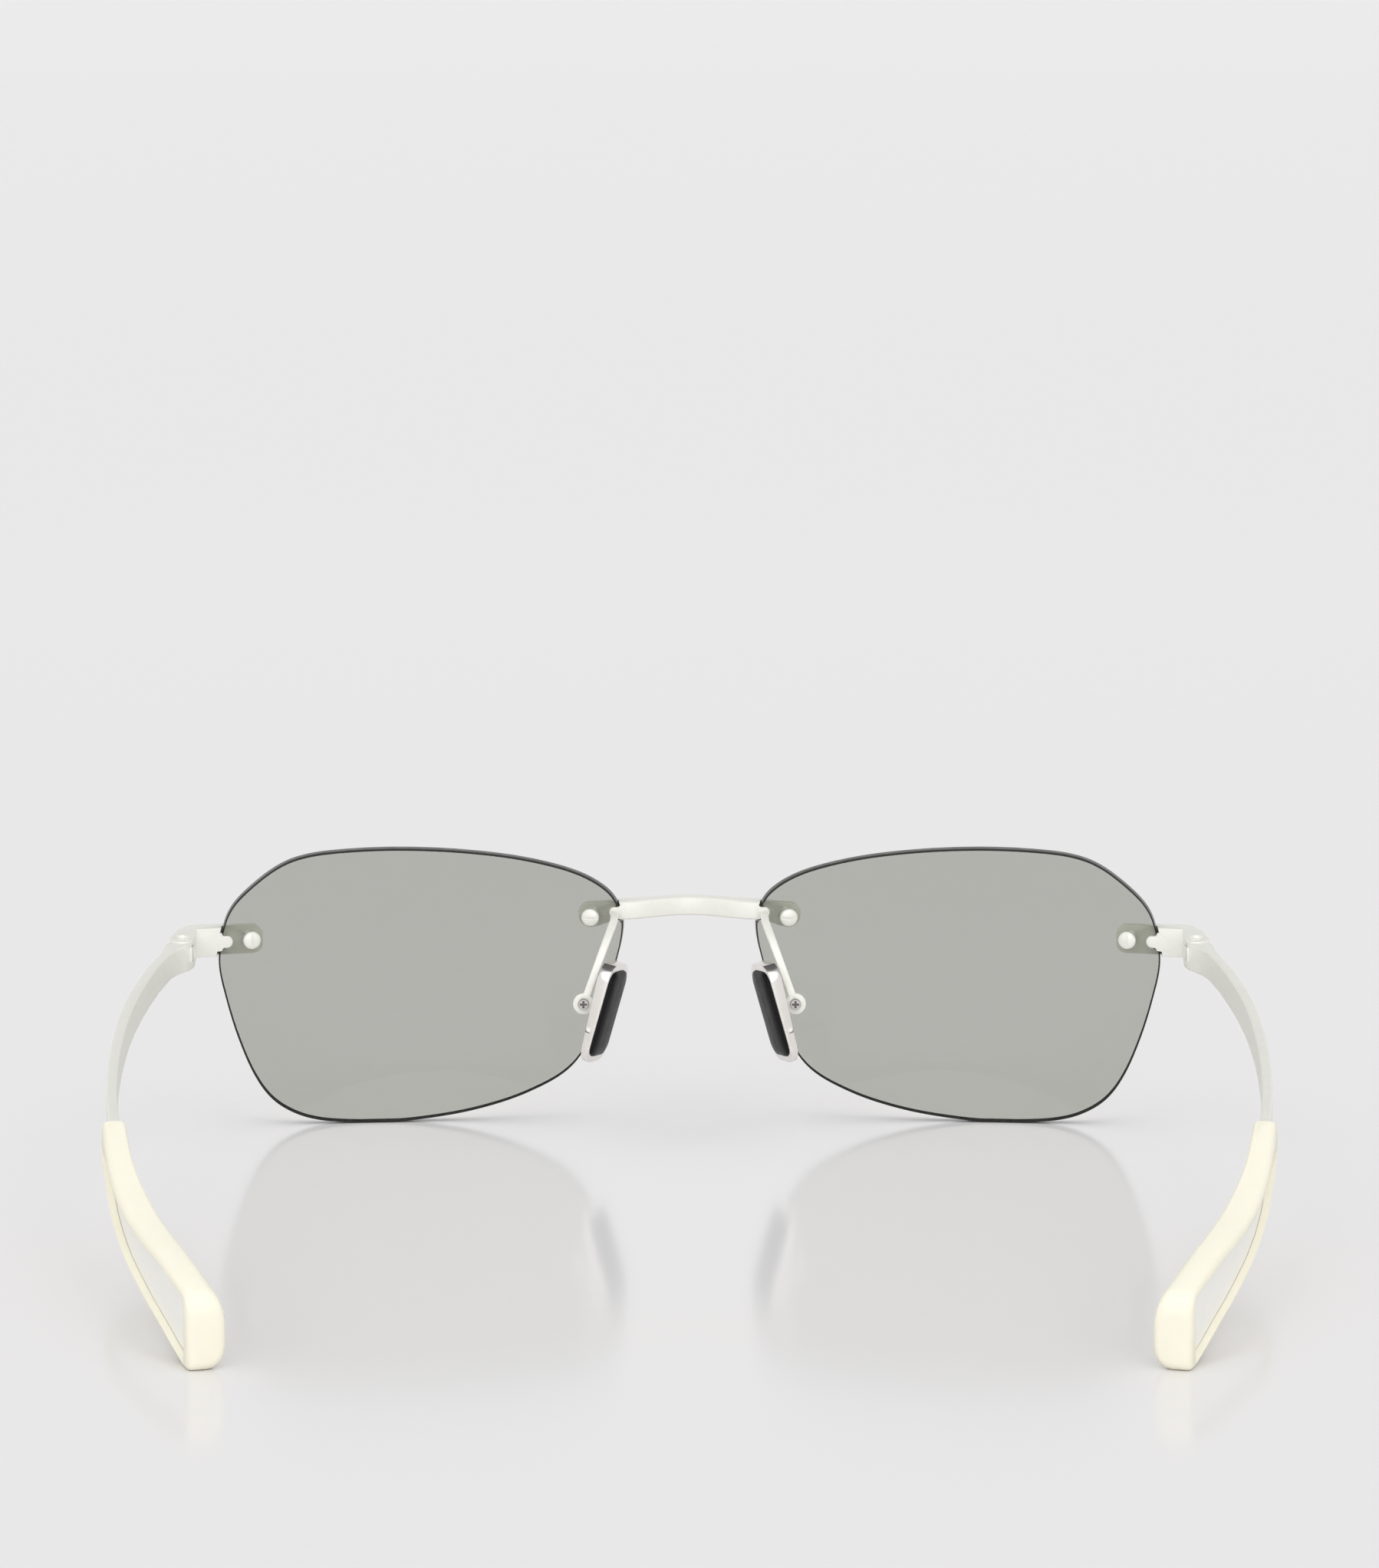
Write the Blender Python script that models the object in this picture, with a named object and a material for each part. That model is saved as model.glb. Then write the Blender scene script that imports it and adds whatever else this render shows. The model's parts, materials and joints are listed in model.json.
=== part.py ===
"""Rimless sunglasses: two curved lenses bolted to a bridge and two endpieces, with folding temples.

The wearer looks along +Y, so +X is the wearer's right and the temples reach back along -Y. Every
piece is drawn for the right side and mirrored for the left. While the pieces are being made, Y is
zero at the frontmost point of a lens and Z is zero on the table that the glasses stand on.
"""

import math

import bmesh
import bpy
from mathutils import Matrix, Vector

MM = 0.001

# Lenses
LENS_WIDTH = 55.75 * MM
LENS_HEIGHT = 38.4 * MM
LENS_THICKNESS = 2.0 * MM
LENS_BEVEL = 0.2 * MM
LENS_GAP = 18.2 * MM
LENS_CURVE_RADIUS = 115.0 * MM
LENS_APEX_OFFSET = 4.5 * MM
# Half widths and half heights from the lens centre, outwards and upwards, anticlockwise from the temple.
LENS_OUTLINE_SHARES = (
    (1.000, 0.170),
    (0.987, 0.390),
    (0.943, 0.577),
    (0.848, 0.732),
    (0.703, 0.888),
    (0.560, 0.962),
    (0.360, 0.992),
    (0.100, 1.000),
    (-0.200, 0.980),
    (-0.500, 0.929),
    (-0.760, 0.838),
    (-0.920, 0.712),
    (-0.990, 0.560),
    (-1.000, 0.400),
    (-0.963, 0.155),
    (-0.880, -0.250),
    (-0.750, -0.585),
    (-0.530, -0.787),
    (-0.250, -0.922),
    (0.060, -0.993),
    (0.300, -1.000),
    (0.500, -0.978),
    (0.640, -0.915),
    (0.753, -0.799),
    (0.840, -0.610),
    (0.915, -0.340),
    (0.970, -0.060),
)
LENS_RING_SHARES = (0.82, 0.58, 0.30)
OUTLINE_STEPS = 3

# Bolts that hold the lenses, and the notches beside them
TEMPORAL_BOLT_INSET = 4.1 * MM
TEMPORAL_BOLT_DROP = 12.25 * MM
NASAL_BOLT_INSET = 4.17 * MM
NASAL_BOLT_DROP = 9.3 * MM
NOTCH_HEIGHT = 1.8 * MM
NOTCH_FROM_BOLT = 2.5 * MM
NOTCH_FLARE = 0.5 * MM
NASAL_NOTCH_RISE = 0.5 * MM
# How far along the flare, and how much wider the notch has become.
NOTCH_FLARE_SHARES = ((0.55, 0.12), (0.85, 0.42), (1.0, 0.95))
BOLT_HEAD_RADIUS = 1.22 * MM
BOLT_HEAD_RIM = 0.25 * MM
BOLT_HEAD_CROWN = 0.45 * MM
BOLT_DOME_DEGS = (0, 30, 60)
BOLT_RADIUS = 0.55 * MM
BOLT_BITE = 0.9 * MM
SLEEVE_RADIUS = 0.9 * MM
SLEEVE_FLANGE = 0.15 * MM
SLOT_WIDTH = 0.28 * MM
SLOT_DEPTH = 0.25 * MM

# Bridge
PLATE_THICKNESS = 1.3 * MM
BRIDGE_HEIGHT = 2.5 * MM
BRIDGE_DEPTH = 2.4 * MM
BRIDGE_BOW = 1.2 * MM
BRIDGE_RISE = 0.75 * MM
BRIDGE_ARCH = 0.3 * MM
BRIDGE_LOBE_RADIUS = 1.75 * MM
BRIDGE_LOBE_OFFSET = 0.3 * MM
BRIDGE_LOBE_SINK = 0.15 * MM
BRIDGE_CHAMFER = 0.22 * MM
# Where the bridge's cross-sections lie: over the gap between the lenses, and on from the lens's edge.
BRIDGE_SPAN_SHARES = (0.0, 0.2, 0.4, 0.6, 0.8, 1.0)
BRIDGE_PLATE_SHARES = (0.25, 0.5, 0.75, 1.0)
BRIDGE_LOBE_DEGS = (20, 40, 58, 74)

# Endpieces and hinges
ENDPIECE_HEIGHT = 4.0 * MM
ENDPIECE_SINK = 0.3 * MM
ENDPIECE_LOBE = 1.9 * MM
ENDPIECE_LOBE_ROUND = 1.3 * MM
ENDPIECE_CORNER = 2.4 * MM
ENDPIECE_CORNER_INSET = 0.3 * MM
ENDPIECE_EDGE = 0.15 * MM
HINGE_OUT = 4.55 * MM
HINGE_SETBACK = 3.25 * MM
KNUCKLE_RADIUS = 1.7 * MM
KNUCKLE_HEIGHT = 2.1 * MM
SLOPE_START = -0.1 * MM
HINGE_SCREW_RADIUS = 0.6 * MM
HINGE_SCREW_HEAD_RADIUS = 1.0 * MM
HINGE_SCREW_HEAD = 0.42 * MM
HINGE_SCREW_SINK = 0.5 * MM

# Temples
TEMPLE_REACH = 137.5 * MM
TEMPLE_HEIGHT = 4.25 * MM
LEAF_HEIGHT = 3.7 * MM
TEMPLE_THICKNESS = 1.4 * MM
TEMPLE_CHAMFER = 0.22 * MM
TEMPLE_BOW = 5.9 * MM
TIP_INSET = 12.2 * MM
# How far back, how much of the bow, and how much of the inset.
TEMPLE_PATH_SHARES = (
    (0.039, 0.30, 0.00),
    (0.063, 0.46, 0.00),
    (0.088, 0.57, 0.00),
    (0.130, 0.74, 0.00),
    (0.171, 0.86, 0.00),
    (0.212, 0.95, 0.00),
    (0.270, 1.00, 0.00),
    (0.332, 1.00, 0.00),
    (0.420, 0.90, 0.00),
    (0.510, 0.66, 0.00),
    (0.611, 0.34, 0.00),
    (0.701, 0.00, 0.03),
    (0.792, 0.00, 0.29),
    (0.893, 0.00, 0.63),
    (1.000, 0.00, 1.00),
)
LEAF_LENGTH = 3.6 * MM
LEAF_INNER = 1.45 * MM
LEAF_OUTER = 2.1 * MM
# How far along the leaf, and how far each of its faces has moved towards the blade's.
LEAF_SHARES = ((0.0, 0.0, 0.0), (0.3, 0.36, 0.3), (0.62, 0.71, 0.6))

# Temple tips
TIP_LENGTH = 69.0 * MM
TIP_START_HEIGHT = 4.9 * MM
TIP_END_HEIGHT = 9.6 * MM
TIP_START_THICKNESS = 3.1 * MM
TIP_END_THICKNESS = 4.8 * MM
TIP_SIDEWAYS = 0.15 * MM
TIP_OUTER_CORNER = 0.9 * MM
TIP_INNER_CORNER = 0.5 * MM
TIP_INNER_END_CORNER = 1.9 * MM
TIP_INNER_END_DROP = 3.2 * MM
TIP_LOW_CORNER = 2.2 * MM
TIP_LOW_RISE = 2.8 * MM
TIP_LEDGE_CORNER = 0.6 * MM
TIP_START_ROUND = 0.4 * MM
TIP_END_ROUND = 3.0 * MM
TIP_HEEL_ROUND = 1.0 * MM
TIP_SIDE_ROUND = 0.9 * MM
TIP_FOOT = 2.0 * MM
# How far the end's rings lie in front of the very end.
TIP_END_RING_SHARES = (1.0, 0.62, 0.36, 0.2, 0.09, 0.02, 0.0)
# How far the start's rings lie behind the very start.
TIP_START_RING_SHARES = (0.0, 0.3)
# How far along the tip, and how much of its growth in height and in thickness it has reached.
TIP_GROWTH_SHARES = (
    (0.00, 0.00, 0.00),
    (0.15, 0.07, 0.06),
    (0.30, 0.15, 0.30),
    (0.42, 0.26, 0.50),
    (0.54, 0.37, 0.62),
    (0.76, 0.79, 0.80),
    (0.90, 0.96, 0.94),
    (1.00, 1.00, 1.00),
)
WINDOW_START = 0.5 * MM
WINDOW_END = 2.1 * MM
WINDOW_TAPER = 22.0 * MM
WINDOW_DEPTH = 1.0 * MM
WINDOW_TOP_LIP = 0.95 * MM
WINDOW_BOTTOM_LIP = 0.5 * MM
WINDOW_FIRST_SHARE = 0.2
CORE_THICKNESS = 1.2 * MM
CORE_TOP_COVER = 0.75 * MM
CORE_BOTTOM_COVER = 0.32 * MM
CORE_END_COVER = 1.6 * MM

# Nose pads
PAD_INSET = 3.05 * MM
PAD_SETBACK = 8.2 * MM
PAD_BELOW_BRIDGE = 12.55 * MM
PAD_SPLAY_DEG = 20.0
PAD_LEAN_DEG = 15.8
PAD_FRAME_LENGTH = 14.0 * MM
PAD_FRAME_WIDTH = 7.6 * MM
PAD_FRAME_DEPTH = 1.06 * MM
PAD_FRAME_FLOOR = 0.4 * MM
PAD_FRAME_CORNER = 2.3 * MM
PAD_BACK_OUT = 0.3 * MM
PAD_BACK_SLANT = 0.4 * MM
PAD_CUSHION_LENGTH = 12.05 * MM
PAD_CUSHION_WIDTH = 6.0 * MM
PAD_CUSHION_CORNER = 1.6 * MM
PAD_CUSHION_PROUD = 0.25 * MM
PAD_CUSHION_CROWN = 0.4 * MM
# How much of its corner the cushion has drawn in, and how much of its crown it has reached.
PAD_CROWN_SHARES = ((0.15, 0.25), (0.8, 0.7), (1.8, 1.0))
PAD_LUG_REACH = 2.35 * MM
PAD_LUG_RISE = 1.0 * MM
PAD_LUG_RADIUS = 1.2 * MM
PAD_LUG_THICKNESS = 0.8 * MM
PAD_LUG_NECK = 1.5 * MM

# Pad arms and their screws
ARM_WIDTH = 1.05 * MM
ARM_THICKNESS = 0.6 * MM
ARM_FOOT_SHARE = 0.72
ARM_RING_RADIUS = 1.43 * MM
ARM_RING_THICKNESS = 0.7 * MM
# How far from the bridge to the ring, sideways, backwards and down.
ARM_PATH_SHARES = (
    (0.00, 0.16, 0.01),
    (0.03, 0.34, 0.08),
    (0.20, 0.62, 0.22),
    (0.45, 0.88, 0.45),
    (0.72, 0.98, 0.72),
    (0.95, 1.00, 0.96),
)
PAD_SCREW_RADIUS = 0.45 * MM
PAD_SCREW_HEAD_RADIUS = 0.73 * MM
PAD_SCREW_HEAD = 0.35 * MM
RECESS_LENGTH = 0.9 * MM
RECESS_WIDTH = 0.24 * MM
RECESS_DEPTH = 0.22 * MM

# Clearances
SEAT_GAP = 0.05 * MM
EDGE_GAP = 0.12 * MM
RUNNING_GAP = 0.06 * MM
HINGE_GAP = 0.1 * MM
CUT_OVERRUN = 1.0 * MM
MERGE_DISTANCE = 0.0001 * MM

ROUND_STEPS = 20
SMALL_ROUND_STEPS = 16
DIRECTION_STEP_SHARE = 0.01
SHARP_DEG = 30

SIDES = (("left", -1), ("right", 1))

# Finishes: base colour, roughness, metallic, alpha
WHITE_METAL = ("white_metal", (0.84, 0.84, 0.80), 0.35, 0.4, 1.0)
SILVER = ("silver", (0.66, 0.65, 0.63), 0.28, 1.0, 1.0)
SMOKE_LENS = ("smoke_lens", (0.45, 0.46, 0.43), 0.03, 0.0, 0.45)
CREAM_RUBBER = ("cream_rubber", (0.94, 0.89, 0.75), 0.5, 0.0, 1.0)
BLACK_RUBBER = ("black_rubber", (0.02, 0.02, 0.02), 0.4, 0.0, 1.0)
CLEAR_NYLON = ("clear_nylon", (0.85, 0.85, 0.82), 0.25, 0.0, 0.6)


# Sizes that follow from the ones above
LENS_CENTRE_X = (LENS_GAP + LENS_WIDTH) / 2
LENS_CENTRE_Z = LENS_HEIGHT / 2
LENS_APEX_X = LENS_CENTRE_X - LENS_APEX_OFFSET
TEMPORAL_BOLT_X = LENS_GAP / 2 + LENS_WIDTH - TEMPORAL_BOLT_INSET
NASAL_BOLT_X = LENS_GAP / 2 + NASAL_BOLT_INSET
TEMPORAL_BOLT_HEIGHT = LENS_HEIGHT - TEMPORAL_BOLT_DROP
NASAL_BOLT_HEIGHT = LENS_HEIGHT - NASAL_BOLT_DROP
NASAL_NOTCH_LEVEL = NASAL_BOLT_HEIGHT + NASAL_NOTCH_RISE
BRIDGE_LEVEL = NASAL_BOLT_HEIGHT + BRIDGE_RISE
BRIDGE_LOBE_LEVEL = NASAL_BOLT_HEIGHT - BRIDGE_LOBE_SINK
ENDPIECE_LEVEL = TEMPORAL_BOLT_HEIGHT - ENDPIECE_SINK
HINGE_X = LENS_GAP / 2 + LENS_WIDTH + HINGE_OUT
PAD_CENTRE_X = LENS_GAP / 2 + PAD_INSET
PAD_CENTRE_Z = BRIDGE_LEVEL - PAD_BELOW_BRIDGE


def lens_front(x, z):
    """Y of the lens's front surface, which is part of a sphere."""
    outer = LENS_CURVE_RADIUS
    return math.sqrt(outer**2 - (x - LENS_APEX_X) ** 2 - (z - LENS_CENTRE_Z) ** 2) - LENS_CURVE_RADIUS


def lens_rear(x, z):
    inner = LENS_CURVE_RADIUS - LENS_THICKNESS
    return math.sqrt(inner**2 - (x - LENS_APEX_X) ** 2 - (z - LENS_CENTRE_Z) ** 2) - LENS_CURVE_RADIUS


def lens_turn(x):
    """How far the lens surface has turned away from facing straight ahead, about Z."""
    return math.asin((x - LENS_APEX_X) / LENS_CURVE_RADIUS)


def seat(x, z):
    """A frame on the lens's front: local X along the lens away from the nose, Y out of it, Z up."""
    return Matrix.Translation((x, lens_front(x, z), z)) @ Matrix.Rotation(-lens_turn(x), 4, "Z")


TEMPORAL_SEAT = seat(TEMPORAL_BOLT_X, TEMPORAL_BOLT_HEIGHT)
NASAL_SEAT = seat(NASAL_BOLT_X, NASAL_BOLT_HEIGHT)
TEMPORAL_TURN = lens_turn(TEMPORAL_BOLT_X)
NASAL_TURN = lens_turn(NASAL_BOLT_X)
FRONT_OUT = SEAT_GAP + PLATE_THICKNESS


def bolt_place(x, z):
    """A place on the lens's front: local Z runs straight back through the lens, and X away from the nose."""
    out = Vector((x - LENS_APEX_X, lens_front(x, z) + LENS_CURVE_RADIUS, z - LENS_CENTRE_Z)).normalized()
    along = Vector((out.y, -out.x, 0.0)).normalized()
    place = Matrix((along, along.cross(out), -out)).transposed().to_4x4()
    place.translation = Vector((x, lens_front(x, z), z))
    return place


BOLT_PLACES = {
    "temporal": bolt_place(TEMPORAL_BOLT_X, TEMPORAL_BOLT_HEIGHT),
    "nasal": bolt_place(NASAL_BOLT_X, NASAL_BOLT_HEIGHT),
}


def plane_y(frame, turn, out, x):
    """Y at x of the upright plane that lies out from a seat, along the seat's own Y."""
    start = frame.translation
    return start.y + out / math.cos(turn) - math.tan(turn) * (x - start.x)


def endpiece_front(x):
    return plane_y(TEMPORAL_SEAT, TEMPORAL_TURN, FRONT_OUT, x)


def endpiece_rear(x):
    return plane_y(TEMPORAL_SEAT, TEMPORAL_TURN, -LENS_THICKNESS, x)


HINGE_Y = endpiece_rear(HINGE_X) - HINGE_SETBACK
TIP_END_Y = HINGE_Y - TEMPLE_REACH
FOOT_Y = TIP_END_Y + TIP_HEEL_ROUND + TIP_FOOT
SLOPE_Y = endpiece_rear(HINGE_X) + SLOPE_START
SLOPE = (ENDPIECE_LEVEL - ENDPIECE_HEIGHT / 2) / (SLOPE_Y - FOOT_Y)
LEAF_Y = HINGE_Y - KNUCKLE_RADIUS - HINGE_GAP
TIP_START_Y = TIP_END_Y + TIP_LENGTH


def drop(y):
    """How far the line of the temples has sunk at y, from level at the endpieces."""
    return max(0.0, SLOPE_Y - y) * SLOPE


HINGE_Z = ENDPIECE_LEVEL - drop(HINGE_Y)


def temple_low(y):
    """Height of the temple's lower edge, which reaches the table at the foot of the tip."""
    return max(0.0, ENDPIECE_LEVEL - ENDPIECE_HEIGHT / 2 - drop(y))


def blend(points, at):
    """The value at a place in a table of (place, value) pairs, on straight runs."""
    for (a, low), (b, high) in zip(points, points[1:]):
        if at <= b:
            return low + (high - low) * max(0.0, at - a) / (b - a)
    return points[-1][1]


def smooth_through(before, start, end, after, share):
    """A Catmull-Rom curve between start and end."""
    square, cube = share**2, share**3
    return (
        (2 * start)
        + (end - before) * share
        + (2 * before - 5 * start + 4 * end - after) * square
        + (3 * start - before - 3 * end + after) * cube
    ) / 2


def lens_outline(grown=0.0):
    """The lens's edge seen from the front, as (x, z) about the lens centre."""
    half_width = LENS_WIDTH / 2 + grown
    half_height = LENS_HEIGHT / 2 + grown
    corners = [Vector((x * half_width, z * half_height)) for x, z in LENS_OUTLINE_SHARES]
    points = []
    for i, start in enumerate(corners):
        before = corners[i - 1]
        end = corners[(i + 1) % len(corners)]
        after = corners[(i + 2) % len(corners)]
        for step in range(OUTLINE_STEPS):
            point = smooth_through(before, start, end, after, step / OUTLINE_STEPS)
            points.append((point.x, max(point.y, -half_height)))
    return points


def temple_centre(y):
    """The temple's centre line and its direction, at y, seen from above."""
    places = [
        (HINGE_Y - back * TEMPLE_REACH, bow * TEMPLE_BOW - inset * TIP_INSET)
        for back, bow, inset in TEMPLE_PATH_SHARES
    ]
    last = len(places) - 1
    i = 0
    while i < last - 1 and y < places[i + 1][0]:
        i += 1
    start, end = Vector(places[i]), Vector(places[i + 1])
    before = Vector(places[i - 1]) if i else 2 * start - end
    after = Vector(places[i + 2]) if i + 2 <= last else 2 * end - start
    share = (start.x - y) / (start.x - end.x)
    here = smooth_through(before, start, end, after, share)
    # Catmull-Rom also moves the place along Y a little, so the offset alone is read from it.
    ahead = smooth_through(before, start, end, after, share + DIRECTION_STEP_SHARE)
    return HINGE_X + here.y, (ahead - here).normalized()


def cleared_scene():
    for item in list(bpy.data.objects):
        bpy.data.objects.remove(item, do_unlink=True)


def finish_of(finish):
    name, color, roughness, metallic, alpha = finish
    material = bpy.data.materials.get(name)
    if material:
        return material
    material = bpy.data.materials.new(name)
    material.use_nodes = True
    shader = material.node_tree.nodes["Principled BSDF"]
    shader.inputs["Base Color"].default_value = (*color, 1.0)
    shader.inputs["Roughness"].default_value = roughness
    shader.inputs["Metallic"].default_value = metallic
    shader.inputs["Alpha"].default_value = alpha
    material.diffuse_color = (*color, alpha)
    return material


def empty(name, place, parent):
    item = bpy.data.objects.new(name, None)
    bpy.context.scene.collection.objects.link(item)
    item.location = place
    item.parent = parent
    return item


def add_object(name, shape, side, carrier):
    """Makes an object of a bmesh drawn for the right side. Its mesh is held about its carrier's origin."""
    if side < 0:
        bmesh.ops.scale(shape, vec=(-1.0, 1.0, 1.0), verts=shape.verts)
    bmesh.ops.recalc_face_normals(shape, faces=shape.faces)
    bmesh.ops.translate(shape, vec=-carrier.location, verts=shape.verts)
    mesh = bpy.data.meshes.new(name)
    shape.to_mesh(mesh)
    shape.free()
    item = bpy.data.objects.new(name, mesh)
    bpy.context.scene.collection.objects.link(item)
    item.parent = carrier
    return item


def piece(name, shape, side, carrier, finish):
    item = add_object(name, shape, side, carrier)
    item.data.materials.append(finish_of(finish))
    item.data.shade_smooth()
    item.data.set_sharp_from_angle(angle=math.radians(SHARP_DEG))
    return item


def helper(name, shape, side, carrier):
    item = add_object(name, shape, side, carrier)
    item.hide_render = True
    item.display_type = "WIRE"
    return item


def combine(target, other, operation):
    modifier = target.modifiers.new(f"{operation.lower()} {other.name}", "BOOLEAN")
    modifier.operation = operation
    modifier.solver = "EXACT"
    modifier.object = other


def prism(outline, low, high, place=Matrix.Identity(4)):
    """An outline in local X and Y, extruded from low to high along local Z."""
    shape = bmesh.new()
    floor = [shape.verts.new(place @ Vector((x, y, low))) for x, y in outline]
    face = shape.faces.new(floor)
    raised = bmesh.ops.extrude_face_region(shape, geom=[face])["geom"]
    lift = place.to_3x3() @ Vector((0.0, 0.0, high - low))
    bmesh.ops.translate(
        shape, vec=lift, verts=[item for item in raised if isinstance(item, bmesh.types.BMVert)]
    )
    return shape


def loft(rings):
    """A closed skin over rings of points, with a flat end at each end."""
    shape = bmesh.new()
    loops = [[shape.verts.new(point) for point in ring] for ring in rings]
    hoops = [[shape.edges.new(pair) for pair in zip(loop, loop[1:] + loop[:1])] for loop in loops]
    for first, second in zip(hoops, hoops[1:]):
        bmesh.ops.bridge_loops(shape, edges=first + second)
    shape.faces.new(loops[0])
    shape.faces.new(loops[-1])
    return shape


def turned(profile, place, steps=ROUND_STEPS):
    """A profile of (radius, height) pairs, spun about local Z. It starts and ends on the axis."""
    shape = bmesh.new()
    verts = [shape.verts.new(place @ Vector((radius, 0.0, height))) for radius, height in profile]
    edges = [shape.edges.new(pair) for pair in zip(verts, verts[1:])]
    return spun(shape, verts + edges, place, steps)


def spun(shape, geometry, place, steps):
    """Turns a profile once round a place's local Z."""
    bmesh.ops.spin(
        shape,
        geom=geometry,
        cent=place.translation,
        axis=place.to_3x3().col[2],
        angle=math.tau,
        steps=steps,
        use_merge=True,
    )
    bmesh.ops.remove_doubles(shape, verts=shape.verts, dist=MERGE_DISTANCE)
    return shape


def rod(radius, low, high, place, steps=ROUND_STEPS):
    return turned([(0.0, low), (radius, low), (radius, high), (0.0, high)], place, steps)


def rectangle(half_x, half_y):
    return [(-half_x, -half_y), (half_x, -half_y), (half_x, half_y), (-half_x, half_y)]


def arc(centre, radius, start_deg, end_deg, steps):
    """Points on a round stretch, in order, with both ends."""
    points = []
    for step in range(steps + 1):
        angle = math.radians(start_deg + (end_deg - start_deg) * step / steps)
        points.append((centre[0] + radius * math.cos(angle), centre[1] + radius * math.sin(angle)))
    return points


def rounded_outline(length, width, corner, steps=4):
    """A rectangle about zero with round corners, its length along X."""
    across, along = width / 2 - corner, length / 2 - corner
    return (
        arc((along, across), corner, 0, 90, steps)
        + arc((-along, across), corner, 90, 180, steps)
        + arc((-along, -across), corner, 180, 270, steps)
        + arc((along, -across), corner, 270, 360, steps)
    )


def slot_outline(start, flare_start, end, height):
    """A slot along X whose round end is at start and whose mouth flares, as (x, z)."""
    radius = height / 2
    lower = [(flare_start, -radius)]
    for along, out in NOTCH_FLARE_SHARES:
        lower.append((flare_start + NOTCH_FLARE * along, -radius - NOTCH_FLARE * out))
    lower.append((end, -radius - NOTCH_FLARE))
    return arc((start + radius, 0.0), radius, 90, 270, 8) + lower + [(x, -z) for x, z in reversed(lower)]


def chamfered(near, far, low, high, cut):
    """A rectangle with cut corners, as (across, up) pairs."""
    return (
        (near + cut, low),
        (far - cut, low),
        (far, low + cut),
        (far, high - cut),
        (far - cut, high),
        (near + cut, high),
        (near, high - cut),
        (near, low + cut),
    )


UP_FROM_FRONT = Matrix.Rotation(math.radians(90), 4, "X")


def upright(frame):
    """A place whose local X and Y are a frame's X and Z, and whose local Z points backwards."""
    return frame @ UP_FROM_FRONT


def lens_body(grown=0.0, in_front=0.0, behind=0.0):
    """Two sphere-shaped faces over the same outline, each a set of rings about its centre."""
    shape = bmesh.new()
    outline = lens_outline(grown)
    bevelled = lens_outline(grown - LENS_BEVEL)

    def ring(points, share, surface, moved):
        places = [(LENS_CENTRE_X + x * share, LENS_CENTRE_Z + z * share) for x, z in points]
        return [shape.verts.new((x, surface(x, z) + moved, z)) for x, z in places]

    sides = []
    for surface, moved, edge in ((lens_front, in_front, -LENS_BEVEL), (lens_rear, -behind, LENS_BEVEL)):
        loops = [ring(outline, 1.0, surface, moved + edge), ring(bevelled, 1.0, surface, moved)]
        loops += [ring(bevelled, share, surface, moved) for share in LENS_RING_SHARES]
        middle_y = surface(LENS_CENTRE_X, LENS_CENTRE_Z) + moved
        middle = shape.verts.new((LENS_CENTRE_X, middle_y, LENS_CENTRE_Z))
        for outer, inner in zip(loops, loops[1:]):
            for i in range(len(outer)):
                shape.faces.new((outer[i - 1], outer[i], inner[i], inner[i - 1]))
        for i in range(len(loops[-1])):
            shape.faces.new((loops[-1][i - 1], loops[-1][i], middle))
        sides.append(loops[0])
    front, rear = sides
    for i in range(len(front)):
        shape.faces.new((front[i - 1], front[i], rear[i], rear[i - 1]))
    return shape


def notches(clearance):
    """The two slots that run in from the lens's edges, as prisms, narrowed by a clearance."""
    height = NOTCH_HEIGHT - 2 * clearance
    depth = LENS_THICKNESS + CUT_OVERRUN
    shapes = {}
    for place, frame, level, inset in (
        ("temporal", TEMPORAL_SEAT, ENDPIECE_LEVEL - TEMPORAL_BOLT_HEIGHT, TEMPORAL_BOLT_INSET),
        ("nasal", NASAL_SEAT, NASAL_NOTCH_LEVEL - NASAL_BOLT_HEIGHT, NASAL_BOLT_INSET),
    ):
        start, end = NOTCH_FROM_BOLT + clearance, inset + CUT_OVERRUN
        outline = slot_outline(start, inset - NOTCH_FLARE, end, height)
        if place == "nasal":
            outline = [(-x, z) for x, z in reversed(outline)]
        at = frame @ Matrix.Translation((0.0, 0.0, level))
        shapes[place] = prism(outline, -CUT_OVERRUN, depth, upright(at))
    return shapes


def make_lens(name, side, root):
    lens = piece(f"lens_{name}", lens_body(), side, root, SMOKE_LENS)
    for place, shape in notches(0.0).items():
        combine(lens, helper(f"{place}_notch_cut_{name}", shape, side, root), "DIFFERENCE")
    for place, at in BOLT_PLACES.items():
        hole = rod(SLEEVE_RADIUS + RUNNING_GAP, -CUT_OVERRUN, LENS_THICKNESS + CUT_OVERRUN, at)
        combine(lens, helper(f"{place}_lens_hole_{name}", hole, side, root), "DIFFERENCE")


def lens_room(place, name, side, root):
    """The space that a mounting plate leaves for the lens, with the tongue for its notch left out."""
    room = helper(f"{place}_lens_room_{name}", lens_body(EDGE_GAP, SEAT_GAP, CUT_OVERRUN), side, root)
    tongue = helper(f"{place}_tongue_{name}", notches(EDGE_GAP)[place], side, root)
    combine(room, tongue, "DIFFERENCE")
    return room


def bolt_hole(place, name, side, root):
    """A blind threaded hole in a mounting plate, open towards the lens."""
    depth = -(BOLT_BITE + SEAT_GAP)
    hole = rod(BOLT_RADIUS + RUNNING_GAP, depth, CUT_OVERRUN, BOLT_PLACES[place])
    return helper(f"{place}_bolt_hole_{name}", hole, side, root)


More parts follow.
